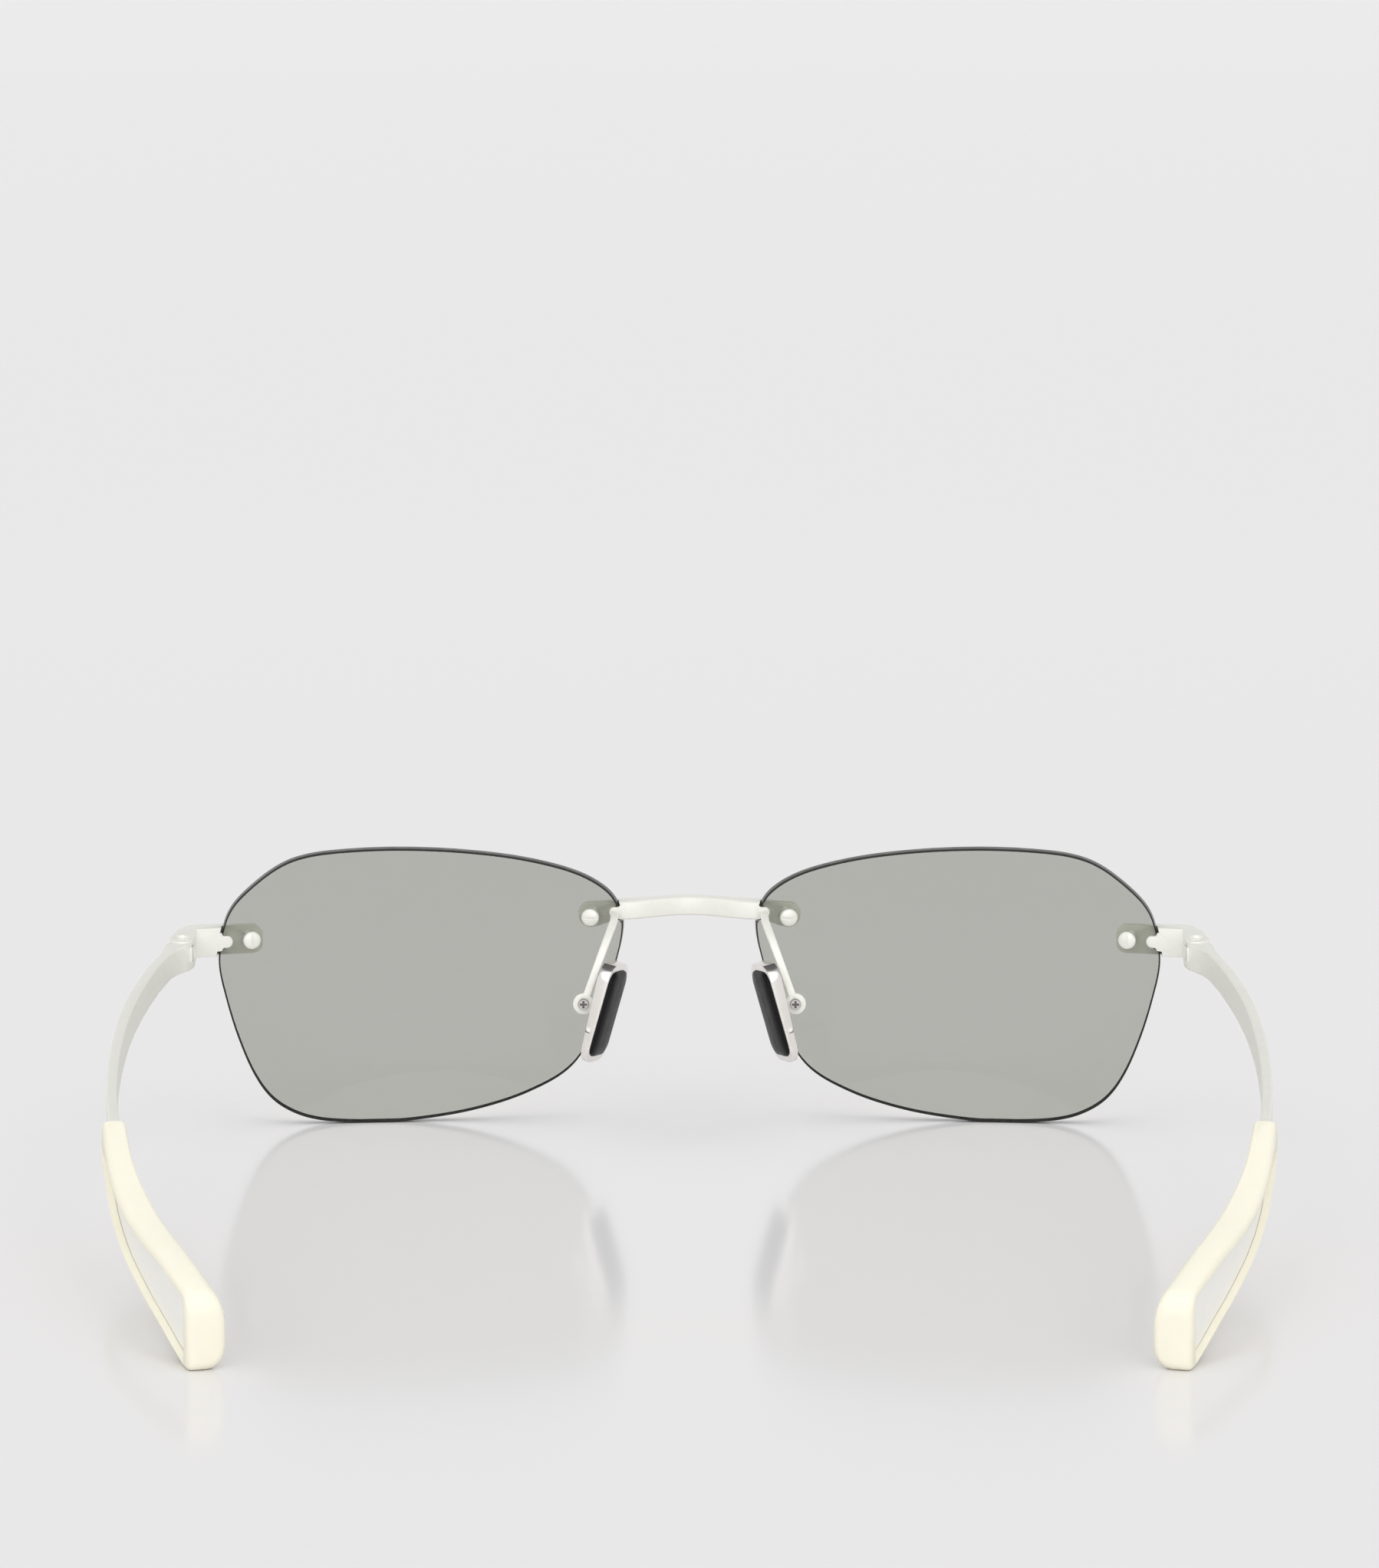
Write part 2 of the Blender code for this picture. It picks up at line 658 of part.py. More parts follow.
def make_bolts(name, side, root):
    """The sleeves that line the lens holes, and the slotted bolts that pass through them from behind."""
    rear = LENS_THICKNESS + SEAT_GAP
    under_head = rear + SLEEVE_FLANGE + SEAT_GAP
    inner = BOLT_RADIUS + RUNNING_GAP
    for place, at in BOLT_PLACES.items():
        wall = [
            (SLEEVE_RADIUS, SEAT_GAP),
            (SLEEVE_RADIUS, rear),
            (BOLT_HEAD_RADIUS, rear),
            (BOLT_HEAD_RADIUS, rear + SLEEVE_FLANGE),
            (inner, rear + SLEEVE_FLANGE),
            (inner, SEAT_GAP),
        ]
        piece(f"{place}_sleeve_{name}", ring_of(wall, at), side, root, CLEAR_NYLON)
        rim = under_head + BOLT_HEAD_RIM
        profile = [
            (0.0, -BOLT_BITE),
            (BOLT_RADIUS, -BOLT_BITE),
            (BOLT_RADIUS, under_head),
            (BOLT_HEAD_RADIUS, under_head),
        ]
        for angle in map(math.radians, BOLT_DOME_DEGS):
            profile.append((BOLT_HEAD_RADIUS * math.cos(angle), rim + BOLT_HEAD_CROWN * math.sin(angle)))
        profile.append((0.0, rim + BOLT_HEAD_CROWN))
        bolt = piece(f"{place}_bolt_{name}", turned(profile, at), side, root, WHITE_METAL)
        long_side, short_side = BOLT_HEAD_RADIUS + CUT_OVERRUN, SLOT_WIDTH / 2
        if place == "temporal":
            long_side, short_side = short_side, long_side
        top = rim + BOLT_HEAD_CROWN
        slot = prism(rectangle(long_side, short_side), top - SLOT_DEPTH, top + CUT_OVERRUN, at)
        combine(bolt, helper(f"{place}_bolt_slot_{name}", slot, side, root), "DIFFERENCE")


def ring_of(wall, place, steps=ROUND_STEPS):
    """A closed profile that stays clear of the axis, spun about local Z."""
    shape = bmesh.new()
    verts = [shape.verts.new(place @ Vector((radius, 0.0, height))) for radius, height in wall]
    edges = [shape.edges.new(pair) for pair in zip(verts, verts[1:] + verts[:1])]
    return spun(shape, verts + edges, place, steps)


def eased(start, end, end_slope, length, share):
    """A curve that is level at the start and has end_slope at the end."""
    square, cube = share**2, share**3
    level_part = start * (2 * cube - 3 * square + 1) + end * (3 * square - 2 * cube)
    return level_part + end_slope * length * (cube - square)


def bridge_section(x):
    """The bridge's cross-section at x, as (front, rear, low, high)."""
    edge = LENS_GAP / 2
    edge_front = plane_y(NASAL_SEAT, NASAL_TURN, FRONT_OUT, edge)
    edge_depth = (FRONT_OUT + LENS_THICKNESS) / math.cos(NASAL_TURN)
    slope = -math.tan(NASAL_TURN)
    bar_middle = BRIDGE_LEVEL
    if x <= edge:
        share = x / edge
        front = eased(edge_front + BRIDGE_BOW, edge_front, slope, edge, share)
        rear = front - eased(BRIDGE_DEPTH, edge_depth, 0.0, edge, share)
        middle = bar_middle + BRIDGE_ARCH * (1 - share**2)
        return front, rear, middle - BRIDGE_HEIGHT / 2, middle + BRIDGE_HEIGHT / 2
    front = plane_y(NASAL_SEAT, NASAL_TURN, FRONT_OUT, x)
    along = x - NASAL_BOLT_X - BRIDGE_LOBE_OFFSET
    if along <= 0:
        share = (x - edge) / (NASAL_BOLT_INSET + BRIDGE_LOBE_OFFSET)
        share = share * share * (3 - 2 * share)
        middle = bar_middle + (BRIDGE_LOBE_LEVEL - bar_middle) * share
        half = BRIDGE_HEIGHT / 2 + (BRIDGE_LOBE_RADIUS - BRIDGE_HEIGHT / 2) * share
    else:
        middle = BRIDGE_LOBE_LEVEL
        half = math.sqrt(max(0.0, BRIDGE_LOBE_RADIUS**2 - along**2))
    return front, front - edge_depth, middle - half, middle + half


def make_bridge(root):
    edge = LENS_GAP / 2
    places = [edge * share for share in BRIDGE_SPAN_SHARES]
    lobe_x = NASAL_BOLT_X + BRIDGE_LOBE_OFFSET
    places += [edge + (lobe_x - edge) * share for share in BRIDGE_PLATE_SHARES]
    places += [lobe_x + BRIDGE_LOBE_RADIUS * math.sin(math.radians(angle)) for angle in BRIDGE_LOBE_DEGS]
    rings = []
    for x in [-x for x in reversed(places[1:])] + places:
        front, rear, low, high = bridge_section(abs(x))
        cut = min(BRIDGE_CHAMFER, (high - low) / 4)
        rings.append([Vector((x, y, z)) for y, z in chamfered(rear, front, low, high, cut)])
    bridge = piece("bridge", loft(rings), 1, root, WHITE_METAL)
    for name, side in SIDES:
        combine(bridge, lens_room("nasal", name, side, root), "DIFFERENCE")
        combine(bridge, bolt_hole("nasal", name, side, root), "DIFFERENCE")


def endpiece_outline():
    """The endpiece from above: a bar along the lens, a round corner, and a knuckle about the hinge."""
    tangent = Vector((math.cos(TEMPORAL_TURN), -math.sin(TEMPORAL_TURN)))
    normal = Vector((math.sin(TEMPORAL_TURN), math.cos(TEMPORAL_TURN)))
    start = TEMPORAL_SEAT.translation.to_2d() - tangent * ENDPIECE_LOBE
    front_end = start + normal * FRONT_OUT
    rear_end = start - normal * LENS_THICKNESS
    inner = HINGE_X - KNUCKLE_RADIUS
    # The corner's centre is a corner radius behind the front face.
    corner_x = HINGE_X + ENDPIECE_CORNER_INSET - ENDPIECE_CORNER
    corner_y = endpiece_front(corner_x) - ENDPIECE_CORNER / math.cos(TEMPORAL_TURN)
    # The outer side touches both rounds, so both arcs end at the same angle.
    ahead = Vector((HINGE_X - corner_x, HINGE_Y - corner_y))
    opening = math.acos((ENDPIECE_CORNER - KNUCKLE_RADIUS) / ahead.length)
    side_deg = math.degrees(math.atan2(ahead.y, ahead.x) + opening)
    front_deg = 90 - math.degrees(TEMPORAL_TURN)
    corner = arc((corner_x, corner_y), ENDPIECE_CORNER, front_deg, side_deg, 5)
    knuckle = arc((HINGE_X, HINGE_Y), KNUCKLE_RADIUS, side_deg, -180, 12)
    return [tuple(front_end)] + corner + knuckle + [(inner, endpiece_rear(inner)), tuple(rear_end)]


def sloped(shape):
    """Lets the rear of a level shape sink along the line of the temples."""
    geometry = shape.verts[:] + shape.edges[:] + shape.faces[:]
    bmesh.ops.bisect_plane(
        shape, geom=geometry, plane_co=(0.0, SLOPE_Y, 0.0), plane_no=(0.0, 1.0, 0.0), dist=MERGE_DISTANCE
    )
    for vert in shape.verts:
        vert.co.z -= drop(vert.co.y)
    return shape


def bevel_lobe(shape):
    """Rounds the two level edges at the end of the bar that lies on the lens."""
    tangent = Vector((math.cos(TEMPORAL_TURN), -math.sin(TEMPORAL_TURN), 0.0))
    end = TEMPORAL_SEAT.translation - tangent * ENDPIECE_LOBE

    def at_end(edge):
        first, second = edge.verts
        is_level = abs(first.co.z - second.co.z) < SEAT_GAP
        return is_level and all(abs((vert.co - end).dot(tangent)) < SEAT_GAP for vert in edge.verts)

    return soften(shape, ENDPIECE_LOBE_ROUND, at_end, 4)


def soften(shape, offset, is_edge, segments=2):
    """Rounds the edges that is_edge picks."""
    bmesh.ops.bevel(
        shape,
        geom=[edge for edge in shape.edges if is_edge(edge)],
        offset=offset,
        offset_type="OFFSET",
        segments=segments,
        profile=0.5,
        affect="EDGES",
    )
    return shape


def make_endpiece(name, side, root):
    half = ENDPIECE_HEIGHT / 2
    low, high = ENDPIECE_LEVEL - half, ENDPIECE_LEVEL + half
    shape = bevel_lobe(prism(endpiece_outline(), low, high))

    def on_rim(edge):
        heights = [vert.co.z for vert in edge.verts]
        is_level = max(heights) - min(heights) < SEAT_GAP
        is_outer = min(heights) > high - SEAT_GAP or max(heights) < low + SEAT_GAP
        return is_level and is_outer and edge.calc_face_angle(0.0) > math.radians(SHARP_DEG)

    shape = sloped(soften(shape, ENDPIECE_EDGE, on_rim))
    endpiece = piece(f"endpiece_{name}", shape, side, root, WHITE_METAL)
    combine(endpiece, lens_room("temporal", name, side, root), "DIFFERENCE")
    combine(endpiece, bolt_hole("temporal", name, side, root), "DIFFERENCE")
    axis = Matrix.Translation((HINGE_X, HINGE_Y, HINGE_Z))
    gap_half = KNUCKLE_HEIGHT / 2 + RUNNING_GAP
    # The slot is open towards the nose, where the folded temple's leaf comes to lie.
    room = KNUCKLE_RADIUS + HINGE_GAP
    opening = room + CUT_OVERRUN
    outline = arc((0.0, 0.0), room, -90, 90, ROUND_STEPS) + [(-opening, room), (-opening, -room)]
    slot = prism(outline, -gap_half, gap_half, axis)
    combine(endpiece, helper(f"knuckle_slot_{name}", slot, side, root), "DIFFERENCE")
    combine(endpiece, helper(f"hinge_screw_hole_{name}", screw_room(), side, root), "DIFFERENCE")


def screw_levels():
    """Heights about the hinge's middle: the seat of the screw's head, and the screw's lower end."""
    top = ENDPIECE_HEIGHT / 2
    return top - HINGE_SCREW_SINK - HINGE_SCREW_HEAD / 2, -top + HINGE_SCREW_SINK


def screw_room():
    """A bore through the hinge with a round recess for the screw's head."""
    head_seat, low = screw_levels()
    bore = HINGE_SCREW_RADIUS + RUNNING_GAP
    recess = HINGE_SCREW_HEAD_RADIUS + RUNNING_GAP
    top = ENDPIECE_HEIGHT / 2 + CUT_OVERRUN
    low -= CUT_OVERRUN + HINGE_SCREW_SINK
    axis = Matrix.Translation((HINGE_X, HINGE_Y, HINGE_Z))
    profile = [(0.0, low), (bore, low), (bore, head_seat), (recess, head_seat), (recess, top), (0.0, top)]
    return turned(profile, axis, SMALL_ROUND_STEPS)


def make_hinge_screw(name, side, root):
    head_seat, low = screw_levels()
    seat_at = head_seat + SEAT_GAP
    top = seat_at + HINGE_SCREW_HEAD
    profile = [
        (0.0, low),
        (HINGE_SCREW_RADIUS, low),
        (HINGE_SCREW_RADIUS, seat_at),
        (HINGE_SCREW_HEAD_RADIUS, seat_at),
        (HINGE_SCREW_HEAD_RADIUS, top - HINGE_SCREW_HEAD / 4),
        (HINGE_SCREW_HEAD_RADIUS - HINGE_SCREW_HEAD / 4, top),
        (0.0, top),
    ]
    axis = Matrix.Translation((HINGE_X, HINGE_Y, HINGE_Z))
    screw = piece(f"hinge_screw_{name}", turned(profile, axis, SMALL_ROUND_STEPS), side, root, SILVER)
    across = rectangle(HINGE_SCREW_HEAD_RADIUS + CUT_OVERRUN, SLOT_WIDTH / 2)
    slot = prism(across, top - HINGE_SCREW_HEAD / 2, top + CUT_OVERRUN, axis)
    combine(screw, helper(f"hinge_screw_slot_{name}", slot, side, root), "DIFFERENCE")


def across_temple(y, section):
    """Sets a section of (across, up) pairs square to the temple's centre line."""
    x, direction = temple_centre(y)
    across = Vector((-direction.x, direction.y))
    across = Vector((abs(across.x), math.copysign(across.y, direction.y)))
    return [Vector((x + across.x * offset, y + across.y * offset, z)) for offset, z in section]


def blade_ring(y, thickness, low, high, cut, sideways=0.0):
    near, far = sideways - thickness / 2, sideways + thickness / 2
    return across_temple(y, chamfered(near, far, low, high, cut))


def oval_corner(centre, across, up, start_deg, end_deg, steps):
    """Points on a stretch of an oval, in order, with both ends."""
    unit = arc((0.0, 0.0), 1.0, start_deg, end_deg, steps)
    return [(centre[0] + x * across, centre[1] + z * up) for x, z in unit]


def tip_section(near, far, low, high, grown):
    """The tip's section, with its softest corners on the inner side, as (across, up) pairs."""
    width, height = far - near, high - low
    wide, rise = min(TIP_LOW_CORNER, width / 2), min(TIP_LOW_RISE, height / 3)
    ledge = min(TIP_LEDGE_CORNER, width / 3, height / 3)
    outer = min(TIP_OUTER_CORNER, width / 4, height / 4)
    inner = TIP_INNER_CORNER + (TIP_INNER_END_CORNER - TIP_INNER_CORNER) * grown**2
    drop = TIP_INNER_CORNER + (TIP_INNER_END_DROP - TIP_INNER_CORNER) * grown**2
    inner, drop = min(inner, width / 2), min(drop, height / 3)
    return (
        oval_corner((near + wide, low + rise), wide, rise, 180, 270, 4)
        + arc((far - ledge, low + ledge), ledge, 270, 360, 3)
        + arc((far - outer, high - outer), outer, 0, 90, 3)
        + oval_corner((near + inner, high - drop), inner, drop, 90, 180, 4)
    )


def tip_growth(y):
    """How much of its growth in height and in thickness the tip has reached at y."""
    share = (TIP_START_Y - y) / TIP_LENGTH
    heights = [(along, taller) for along, taller, _ in TIP_GROWTH_SHARES]
    thicknesses = [(along, thicker) for along, _, thicker in TIP_GROWTH_SHARES]
    return blend(heights, share), blend(thicknesses, share)


def tip_height(y):
    return TIP_START_HEIGHT + (TIP_END_HEIGHT - TIP_START_HEIGHT) * tip_growth(y)[0]


def tip_thickness(y):
    return TIP_START_THICKNESS + (TIP_END_THICKNESS - TIP_START_THICKNESS) * tip_growth(y)[1]


def tip_low(y):
    """Height of the tip's underside, which hangs a little under the blade where it starts."""
    hang = (TIP_START_HEIGHT - TEMPLE_HEIGHT) / 2
    share = (TIP_START_Y - y) / TIP_LENGTH
    return max(0.0, temple_low(y) - hang * (1 - share))


def core_level(y):
    """Low and high edges of the flat core inside the tip."""
    return tip_low(y) + CORE_BOTTOM_COVER, tip_low(y) + tip_height(y) - CORE_TOP_COVER


def core_sideways(y):
    """The core's middle from the centre line, so that the window is cut down to the core's face."""
    return TIP_SIDEWAYS + tip_thickness(y) / 2 - WINDOW_DEPTH - CORE_THICKNESS / 2


def core_places():
    first = TIP_START_Y
    last = TIP_END_Y + CORE_END_COVER
    count = 10
    return [first + (last - first) * step / count for step in range(count + 1)]


def temple_rings():
    rings = []
    blade_start = LEAF_Y - LEAF_LENGTH
    x, _ = temple_centre(blade_start)
    for along, inner_share, outer_share in LEAF_SHARES:
        y = LEAF_Y - along * LEAF_LENGTH
        inner_from, outer_from = HINGE_X - LEAF_INNER, HINGE_X + LEAF_OUTER
        inner = inner_from + (x - TEMPLE_THICKNESS / 2 - inner_from) * inner_share
        outer = outer_from + (x + TEMPLE_THICKNESS / 2 - outer_from) * outer_share
        low = temple_low(y) + (ENDPIECE_HEIGHT - LEAF_HEIGHT) / 2
        high = low + LEAF_HEIGHT
        rings.append([Vector((px, y, z)) for px, z in chamfered(inner, outer, low, high, TEMPLE_CHAMFER)])
    count = 12
    for step in range(count + 1):
        y = blade_start + (TIP_START_Y + SEAT_GAP - blade_start) * step / count
        grown = min(1.0, (step + 1) / 4)
        low = temple_low(y) + (ENDPIECE_HEIGHT - LEAF_HEIGHT) / 2 * (1 - grown)
        high = low + LEAF_HEIGHT + (TEMPLE_HEIGHT - LEAF_HEIGHT) * grown
        rings.append(blade_ring(y, TEMPLE_THICKNESS, low, high, TEMPLE_CHAMFER))
    for y in core_places():
        low, high = core_level(y)
        rings.append(blade_ring(y, CORE_THICKNESS, low, high, TEMPLE_CHAMFER, core_sideways(y)))
    return rings


def make_temple(name, side, pivot):
    temple = piece(f"temple_{name}", loft(temple_rings()), side, pivot, WHITE_METAL)
    axis = Matrix.Translation((HINGE_X, HINGE_Y, HINGE_Z))
    half = KNUCKLE_HEIGHT / 2 - RUNNING_GAP
    outline = arc((0.0, 0.0), KNUCKLE_RADIUS - RUNNING_GAP, 0, 180, 10)
    foot = LEAF_Y - HINGE_Y - TEMPLE_CHAMFER
    outline += [(-LEAF_INNER, foot), (LEAF_OUTER - TEMPLE_CHAMFER, foot)]
    knuckle = helper(f"knuckle_{name}", prism(outline, -half, half, axis), side, pivot)
    combine(temple, knuckle, "UNION")
    bore = rod(HINGE_SCREW_RADIUS + RUNNING_GAP, -ENDPIECE_HEIGHT, ENDPIECE_HEIGHT, axis, SMALL_ROUND_STEPS)
    combine(temple, helper(f"knuckle_bore_{name}", bore, side, pivot), "DIFFERENCE")


def rounding(radius, along):
    """How far a round of this radius has drawn in, at a distance along from its end."""
    return radius - math.sqrt(max(0.0, radius**2 - max(0.0, radius - along) ** 2))


def tip_ring(y, low, high, drawn_in):
    half = tip_thickness(y) / 2 - drawn_in
    section = tip_section(TIP_SIDEWAYS - half, TIP_SIDEWAYS + half, low, high, tip_growth(y)[0])
    return across_temple(y, section)


def tip_rings():
    rings = []
    straight = 14
    start = TIP_START_Y - SEAT_GAP
    round_start = TIP_END_Y + TIP_END_ROUND
    for share in TIP_START_RING_SHARES:
        along = TIP_START_ROUND * share
        y = start - along
        rings.append(tip_ring(y, tip_low(y), tip_low(y) + tip_height(y), rounding(TIP_START_ROUND, along)))
    start -= TIP_START_ROUND
    for step in range(straight):
        y = start + (round_start - start) * step / straight
        rings.append(tip_ring(y, tip_low(y), tip_low(y) + tip_height(y), 0.0))
    for share in TIP_END_RING_SHARES:
        along = TIP_END_ROUND * share
        y = TIP_END_Y + along
        low = tip_low(y) + rounding(TIP_HEEL_ROUND, along)
        high = tip_low(y) + tip_height(y) - rounding(TIP_END_ROUND, along)
        rings.append(tip_ring(y, low, high, rounding(TIP_SIDE_ROUND, along)))
    return rings


def window_rings():
    """The opening in the tip's outer side: a long drop shape that widens backwards."""
    first = TIP_START_Y - WINDOW_START
    last = TIP_END_Y + WINDOW_END
    count = 10
    rings = []
    for step in range(count + 1):
        y = first + (last - first) * step / count
        low = tip_low(y) + WINDOW_BOTTOM_LIP
        high = tip_low(y) + tip_height(y) - WINDOW_TOP_LIP
        opened = min(1.0, WINDOW_FIRST_SHARE + (first - y) / WINDOW_TAPER)
        opened = math.sin(opened * math.pi / 2)
        high = low + (high - low) * opened
        outside = tip_thickness(y) / 2
        near = TIP_SIDEWAYS + outside - WINDOW_DEPTH - RUNNING_GAP
        thickness = WINDOW_DEPTH + RUNNING_GAP + CUT_OVERRUN
        cut = min(TEMPLE_CHAMFER, (high - low) / 4)
        rings.append(blade_ring(y, thickness, low, high, cut, near + thickness / 2))
    return rings


def make_tip(name, side, pivot):
    tip = piece(f"temple_tip_{name}", loft(tip_rings()), side, pivot, CREAM_RUBBER)
    rings = []
    for y in core_places():
        low, high = core_level(y)
        gap = SEAT_GAP
        rings.append(
            blade_ring(y, CORE_THICKNESS + 2 * gap, low - gap, high + gap, TEMPLE_CHAMFER, core_sideways(y))
        )
    start, end = rings[0], rings[-1]
    forward = Vector((0.0, CUT_OVERRUN, 0.0))
    rings = [[point + forward for point in start]] + rings
    rings.append([point - Vector((0.0, SEAT_GAP, 0.0)) for point in end])
    combine(tip, helper(f"core_room_{name}", loft(rings), side, pivot), "DIFFERENCE")
    combine(tip, helper(f"tip_window_{name}", loft(window_rings()), side, pivot), "DIFFERENCE")


def pad_place():
    """A frame on the middle of the pad frame's back: X up along the pad, Y forwards, Z towards the nose."""
    lean = Matrix.Rotation(-math.radians(PAD_LEAN_DEG), 3, "Y")
    splay = math.radians(PAD_SPLAY_DEG)
    along = lean @ Vector((0.0, 0.0, 1.0))
    inwards = lean @ Vector((-math.cos(splay), -math.sin(splay), 0.0))
    forwards = inwards.cross(along)
    at = Vector((PAD_CENTRE_X, lens_rear(PAD_CENTRE_X, PAD_CENTRE_Z) - PAD_SETBACK, PAD_CENTRE_Z))
    place = Matrix((along, forwards, inwards)).transposed().to_4x4()
    place.translation = at
    return place


PAD_PLACE = pad_place()
RING_CENTRE = PAD_PLACE.translation + Vector((PAD_LUG_REACH, 0.0, PAD_LUG_RISE))


def ring_frame():
    """A place on the pad arm's ring whose local Z runs backwards, out of the screw's head."""
    return Matrix.Translation(RING_CENTRE) @ UP_FROM_FRONT


def with_slanted_back(shape):
    """Lets the pad frame's back stand further out towards its upper end."""
    turn = PAD_PLACE.to_3x3()
    along, inwards = turn.col[0], turn.col[2]
    for vert in shape.verts:
        local = vert.co - PAD_PLACE.translation
        if local.dot(inwards) < PAD_FRAME_DEPTH / 2:
            share = 2 * local.dot(along) / PAD_FRAME_LENGTH
            vert.co -= inwards * (PAD_BACK_OUT + PAD_BACK_SLANT * share)
    return shape


def make_pad(name, side, pivot):
    frame_outline = rounded_outline(PAD_FRAME_LENGTH, PAD_FRAME_WIDTH, PAD_FRAME_CORNER)
    frame_shape = with_slanted_back(prism(frame_outline, 0.0, PAD_FRAME_DEPTH, PAD_PLACE))
    frame = piece(f"pad_frame_{name}", frame_shape, side, pivot, SILVER)
    at = ring_frame()
    front = -ARM_RING_THICKNESS / 2 - SEAT_GAP
    back = front - PAD_LUG_THICKNESS
    disc = arc((0.0, 0.0), PAD_LUG_RADIUS, 90, -90, 8)
    half = PAD_LUG_NECK / 2
    reach = PAD_LUG_REACH + PAD_FRAME_DEPTH / 2
    neck = -PAD_LUG_RADIUS / 2
    lug_outline = disc + [(neck, -half), (-reach, -half), (-reach, half), (neck, half)]
    lug = helper(f"pad_lug_{name}", prism(lug_outline, back, front, at), side, pivot)
    combine(frame, lug, "UNION")
    room = rounded_outline(
        PAD_CUSHION_LENGTH + 2 * SEAT_GAP, PAD_CUSHION_WIDTH + 2 * SEAT_GAP, PAD_CUSHION_CORNER + SEAT_GAP
    )
    pocket = prism(room, PAD_FRAME_FLOOR, PAD_FRAME_DEPTH + CUT_OVERRUN, PAD_PLACE)
    combine(frame, helper(f"pad_pocket_{name}", pocket, side, pivot), "DIFFERENCE")
    bore = rod(PAD_SCREW_RADIUS + RUNNING_GAP, back - CUT_OVERRUN, CUT_OVERRUN, at, SMALL_ROUND_STEPS)
    combine(frame, helper(f"pad_lug_bore_{name}", bore, side, pivot), "DIFFERENCE")

    low = PAD_FRAME_FLOOR + SEAT_GAP
    rim = PAD_FRAME_DEPTH + PAD_CUSHION_PROUD
    levels = [(0.0, low), (0.0, rim - PAD_CUSHION_PROUD / 2)]
    levels += [(drawn_in, rim + PAD_CUSHION_CROWN * risen) for drawn_in, risen in PAD_CROWN_SHARES]
    rings = []
    for shrink_share, level in levels:
        shrink = shrink_share * PAD_CUSHION_CORNER
        length, width = PAD_CUSHION_LENGTH - shrink, PAD_CUSHION_WIDTH - shrink
        corner = min(PAD_CUSHION_CORNER, width / 2 - SEAT_GAP)
        rings.append([PAD_PLACE @ Vector((x, y, level)) for x, y in rounded_outline(length, width, corner)])
    piece(f"pad_cushion_{name}", loft(rings), side, pivot, BLACK_RUBBER)


def make_pad_screw(name, side, pivot):
    at = ring_frame()
    under_head = ARM_RING_THICKNESS / 2 + SEAT_GAP
    low = -ARM_RING_THICKNESS / 2 - SEAT_GAP - PAD_LUG_THICKNESS
    top = under_head + PAD_SCREW_HEAD
    profile = [
        (0.0, low),
        (PAD_SCREW_RADIUS, low),
        (PAD_SCREW_RADIUS, under_head),
        (PAD_SCREW_HEAD_RADIUS, under_head),
        (PAD_SCREW_HEAD_RADIUS, top - PAD_SCREW_HEAD / 3),
        (PAD_SCREW_HEAD_RADIUS - PAD_SCREW_HEAD / 3, top),
        (0.0, top),
    ]
    screw = piece(f"pad_screw_{name}", turned(profile, at, SMALL_ROUND_STEPS), side, pivot, SILVER)
    long_side, short_side = RECESS_LENGTH / 2, RECESS_WIDTH / 2
    cross = [
        (-long_side, -short_side),
        (-short_side, -short_side),
        (-short_side, -long_side),
        (short_side, -long_side),
        (short_side, -short_side),
        (long_side, -short_side),
        (long_side, short_side),
        (short_side, short_side),
        (short_side, long_side),
        (-short_side, long_side),
        (-short_side, short_side),
        (-long_side, short_side),
    ]
    recess = prism(cross, top - RECESS_DEPTH, top + CUT_OVERRUN, at)
    combine(screw, helper(f"pad_screw_recess_{name}", recess, side, pivot), "DIFFERENCE")


def arm_root():
    """The middle of the tongue's rear face, where the pad arm is brazed on."""
    edge = LENS_GAP / 2
    notch_end = NASAL_BOLT_X - NOTCH_FROM_BOLT
    x = edge + (notch_end - edge) * ARM_FOOT_SHARE
    return Vector((x, plane_y(NASAL_SEAT, NASAL_TURN, -LENS_THICKNESS, x), NASAL_NOTCH_LEVEL))


def make_pad_arm(name, side, root):
    """A flat wire from the bridge, back and down to a ring that holds the pad."""
    foot = arm_root()
    span = RING_CENTRE - foot
    points = [foot - Vector((0.0, SEAT_GAP, 0.0))]
    points += [foot + Vector((span.x * a, span.y * b, span.z * c)) for a, b, c in ARM_PATH_SHARES]
    rings = []
    for i, point in enumerate(points):
        ahead = points[min(i + 1, len(points) - 1)] - points[max(i - 1, 0)]
        if i == 0:
            ahead = Vector((0.0, -1.0, 0.0))
        wide = Vector((1.0, 0.0, 0.0))
        wide = (wide - ahead * wide.dot(ahead) / ahead.length_squared).normalized()
        thick = ahead.cross(wide).normalized()
        half_width, half_thickness = ARM_WIDTH / 2, ARM_THICKNESS / 2
        section = chamfered(-half_width, half_width, -half_thickness, half_thickness, half_thickness / 3)
        rings.append([point + wide * a + thick * b for a, b in section])
    arm = piece(f"pad_arm_{name}", loft(rings), side, root, WHITE_METAL)
    half = ARM_RING_THICKNESS / 2
    disc = helper(f"pad_ring_{name}", rod(ARM_RING_RADIUS, -half, half, ring_frame()), side, root)
    combine(arm, disc, "UNION")
    bore_radius = PAD_SCREW_RADIUS + RUNNING_GAP
    bore = rod(bore_radius, -half - CUT_OVERRUN, half + CUT_OVERRUN, ring_frame(), SMALL_ROUND_STEPS)
    combine(arm, helper(f"pad_ring_bore_{name}", bore, side, root), "DIFFERENCE")


